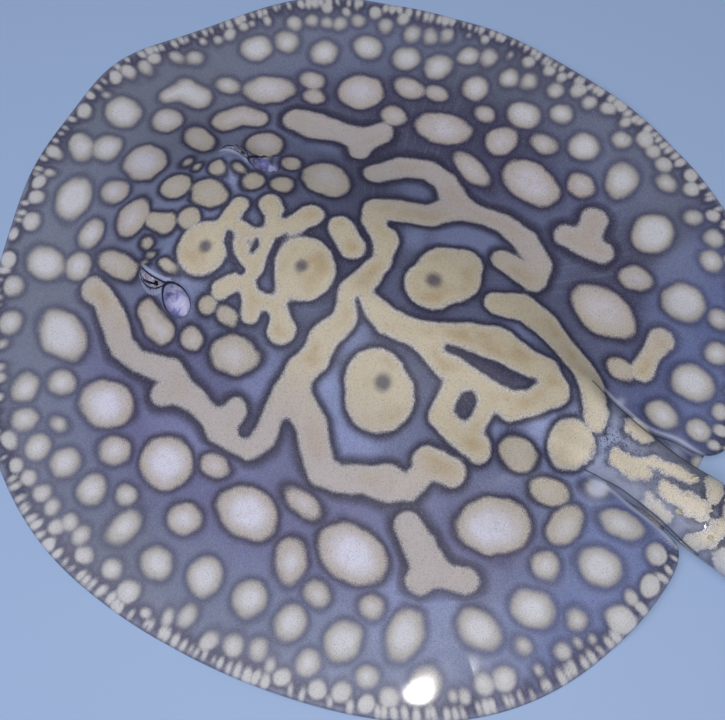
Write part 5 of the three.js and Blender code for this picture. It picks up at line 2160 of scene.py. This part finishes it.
@dataclass
class TailArms:
    """The thorns along the tail and the barbed sting."""

    form: BodyForm = field(default_factory=BodyForm)
    tail: TailPlan = field(default_factory=TailPlan)
    finish: HornFinish = field(default_factory=HornFinish)
    middle_row: tuple[float, float, float, float, float] = (152, 338, 11.5, 4.2, 2.7)
    side_rows: tuple[float, float, float, float, float] = (186, 330, 18, 2.8, 1.9)
    side_share: float = 0.52
    first_size: float = 0.35
    full_from: float = 240
    shrink: float = 0.35
    lean: float = 0.42
    sting_root: float = 348
    sting_length: float = 74
    sting_width: float = 5.6
    sting_thick: float = 2.2
    teeth: int = 13
    teeth_from: float = 0.14
    tooth: float = 0.9
    thorn_sides: int = 12
    thorn_root: float = 1.2
    tip_heights: Span = (18, 27)

    def thorn(self, y: float, across: float, high: float, wide: float) -> Solid:
        """Builds one curved thorn that leans back.

        Args:
            y: Where it stands along the tail.
            across: Its place across the tail, as a share of the half width.
            high: How far it stands out.
            wide: Radius of its foot.

        Returns:
            Points and faces.
        """
        foot_x = float(self.tail.centre(y)) + across * float(self.tail.half_width(y))
        foot_z = float(self.form.levels(np.array(foot_x), np.array(y), np.array(True))[1])
        turn = np.arange(self.thorn_sides) * 2.0 * math.pi / self.thorn_sides
        rings = []
        for share in np.linspace(0.0, 1.0, 8):
            radius = wide * (1 - share) ** 0.8 + 0.06
            up = (high + self.thorn_root) * share - self.thorn_root
            back = self.lean * up * (0.5 + 0.6 * share)
            x = foot_x + radius * np.cos(turn) + across * 0.9 * up
            y_points = y + radius * np.sin(turn) + back
            rings.append(np.stack([x, y_points, np.full(self.thorn_sides, foot_z + up)], -1))
        return tube_solid(rings)

    def thorns(self) -> Solid:
        """Builds all thorns as one mesh.

        Returns:
            The closed mesh.
        """
        solids = []
        start, end, step, high, wide = self.middle_row
        for y in np.arange(start, end, step):
            size = lerp(self.first_size, 1, smooth(start, self.full_from, y))
            size = size - self.shrink * (y - start) / (end - start)
            solids.append(self.thorn(y, 0, high * size, wide * size))
        start, end, step, high, wide = self.side_rows
        for y in np.arange(start, end, step):
            solids += [self.thorn(y, side * self.side_share, high, wide) for side in (-1, 1)]
        return joined(solids)

    def sting(self) -> Solid:
        """Builds the flat sting with its rows of backward teeth and its long groove.

        Returns:
            The closed mesh.
        """
        rings = []
        y0, length = self.sting_root, self.sting_length
        x0, z0 = float(self.tail.centre(y0)), self.tail.top(y0) + 0.5
        x1 = float(self.tail.centre(y0 + length))
        slope = (self.tail.top(y0 + 60) - self.tail.top(y0)) / 60 + 0.035
        for share in np.linspace(0.0, 1.0, self.teeth * 8 + 1):
            half = self.sting_width / 2 * (1 - share**2.2) + 0.22
            saw = (share * self.teeth) % 1 if share > self.teeth_from else 0
            half = max(0.2, half - self.tooth * saw * (1 - 0.6 * share))
            thick = self.sting_thick * (1 - 0.55 * share)
            groove = 0.25 * thick * (1 - share)
            section = [
                (-half, 0.45 * thick), (-0.55 * half, 0.92 * thick), (0, thick - groove),
                (0.55 * half, 0.92 * thick), (half, 0.45 * thick), (0.5 * half, 0.08), (-0.5 * half, 0.08),
            ]
            x, y = lerp(x0, x1, share), y0 + length * share
            z = z0 + slope * length * share
            rings.append(np.array([(x + px, y, z + pz) for px, pz in section]))
        return tube_solid(rings)

    def build(self, effects: Effects) -> list[bpy.types.Object]:
        """Builds and dresses the thorns and the sting.

        Args:
            effects: The shared groups.

        Returns:
            The thorns and the sting.
        """
        material = self.finish.material(effects)
        thorns = make_piece("tail_thorns", self.thorns(), weld=0.001)
        sting = make_piece("sting_barb", self.sting(), weld=0.001)
        points, _ = mesh_points(thorns.data)
        add_field(thorns.data, "tip", smooth(*self.tip_heights, points[:, 2]))
        add_field(sting.data, "tip", np.full(len(sting.data.vertices), 0.3))
        for piece in (thorns, sting):
            piece.data.materials.append(material)
        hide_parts("tail_sting")
        return [thorns, sting]


# ---- floor, light and camera
@dataclass(frozen=True)
class Lamp:
    """A round lamp: its place and width in metres, its power in watts and its colour."""

    name: str
    place: Triple
    size: float
    power: float
    colour: str


@dataclass
class Studio:
    """A plain pale floor, soft lights and the camera."""

    lamps: tuple[Lamp, ...] = (
        Lamp("key", (0.325, 0.325, 1.1), 0.13, 3.4, "fffaf2"),
        Lamp("ceiling", (0.45, -0.15, 1.4), 1.7, 15.5, "eaeeff"),
    )
    floor_colour: str = "a7bfdf"
    floor_cloud: Tint = Tint("98b0d2", 0.12)
    floor_clouds: Patches = Patches(1.5, 2)
    floor_rough: float = 0.6
    floor_size: float = 12
    floor_drop: float = 0.0004
    sky_colour: str = "c9d4e6"
    sky_strength: float = 0.16
    eye: Triple = (0.135, 0.097, 0.4703)
    right: Triple = (-0.491, 0.8698, -0.0488)
    up: Triple = (-0.8398, -0.4577, 0.2921)
    lens: float = 44.24
    sensor: float = 36

    def floor(self, effects: Effects) -> bpy.types.Object:
        """Lays the floor just under the belly.

        Args:
            effects: The shared groups.

        Returns:
            The floor.
        """
        bpy.ops.mesh.primitive_plane_add(size=self.floor_size, location=(0, 0, -self.floor_drop))
        plane = bpy.context.object
        plane.name = "floor"
        kit = Canvas("pale_floor", effects)
        shade = kit.layer(self.floor_colour, self.floor_cloud, kit.cells(self.floor_clouds))
        plane.data.materials.append(kit.finished(Base_Color=shade, Roughness=self.floor_rough))
        return plane

    def light(self, lamp: Lamp) -> bpy.types.Object:
        """Hangs a round lamp that faces the ray.

        Args:
            lamp: The lamp.

        Returns:
            The light.
        """
        data = bpy.data.lights.new(lamp.name, "AREA")
        data.shape = "DISK"
        data.size, data.energy = lamp.size, lamp.power
        data.color = paint(lamp.colour)[:3]
        light = bpy.data.objects.new(lamp.name, data)
        light.location = lamp.place
        light.rotation_euler = (-Vector(lamp.place)).to_track_quat("-Z", "Y").to_euler()
        bpy.context.scene.collection.objects.link(light)
        return light

    def sky(self) -> None:
        """Fills the room with a soft even light."""
        world = bpy.data.worlds.new("soft_room")
        world.use_nodes = True
        back = world.node_tree.nodes["Background"]
        back.inputs["Color"].default_value = paint(self.sky_colour)
        back.inputs["Strength"].default_value = self.sky_strength
        bpy.context.scene.world = world

    def camera(self) -> bpy.types.Object:
        """Sets the camera over the ray's right rear side.

        Returns:
            The camera.
        """
        data = bpy.data.cameras.new("camera")
        data.lens, data.sensor_width = self.lens, self.sensor
        data.clip_start = 0.01
        camera = bpy.data.objects.new("camera", data)
        right, up = Vector(self.right).normalized(), Vector(self.up).normalized()
        turned = Matrix((right, up, right.cross(up))).transposed().to_4x4()
        camera.matrix_world = Matrix.Translation(self.eye) @ turned
        bpy.context.scene.collection.objects.link(camera)
        bpy.context.scene.camera = camera
        return camera

    def build(self, effects: Effects) -> None:
        """Sets up the whole studio.

        Args:
            effects: The shared groups.
        """
        self.floor(effects)
        self.sky()
        for lamp in self.lamps:
            self.light(lamp)
        self.camera()
        bpy.context.scene.view_settings.view_transform = "Standard"


def main() -> None:
    """Builds every piece in order."""
    logging.basicConfig(level=logging.INFO, format="%(name)s %(message)s")
    effects = Effects()
    Skin().build(effects)
    Eyes().build(effects)
    Mouth().build(effects)
    TailArms().build(effects)
    Studio().build(effects)


if __name__ == "__main__":
    main()
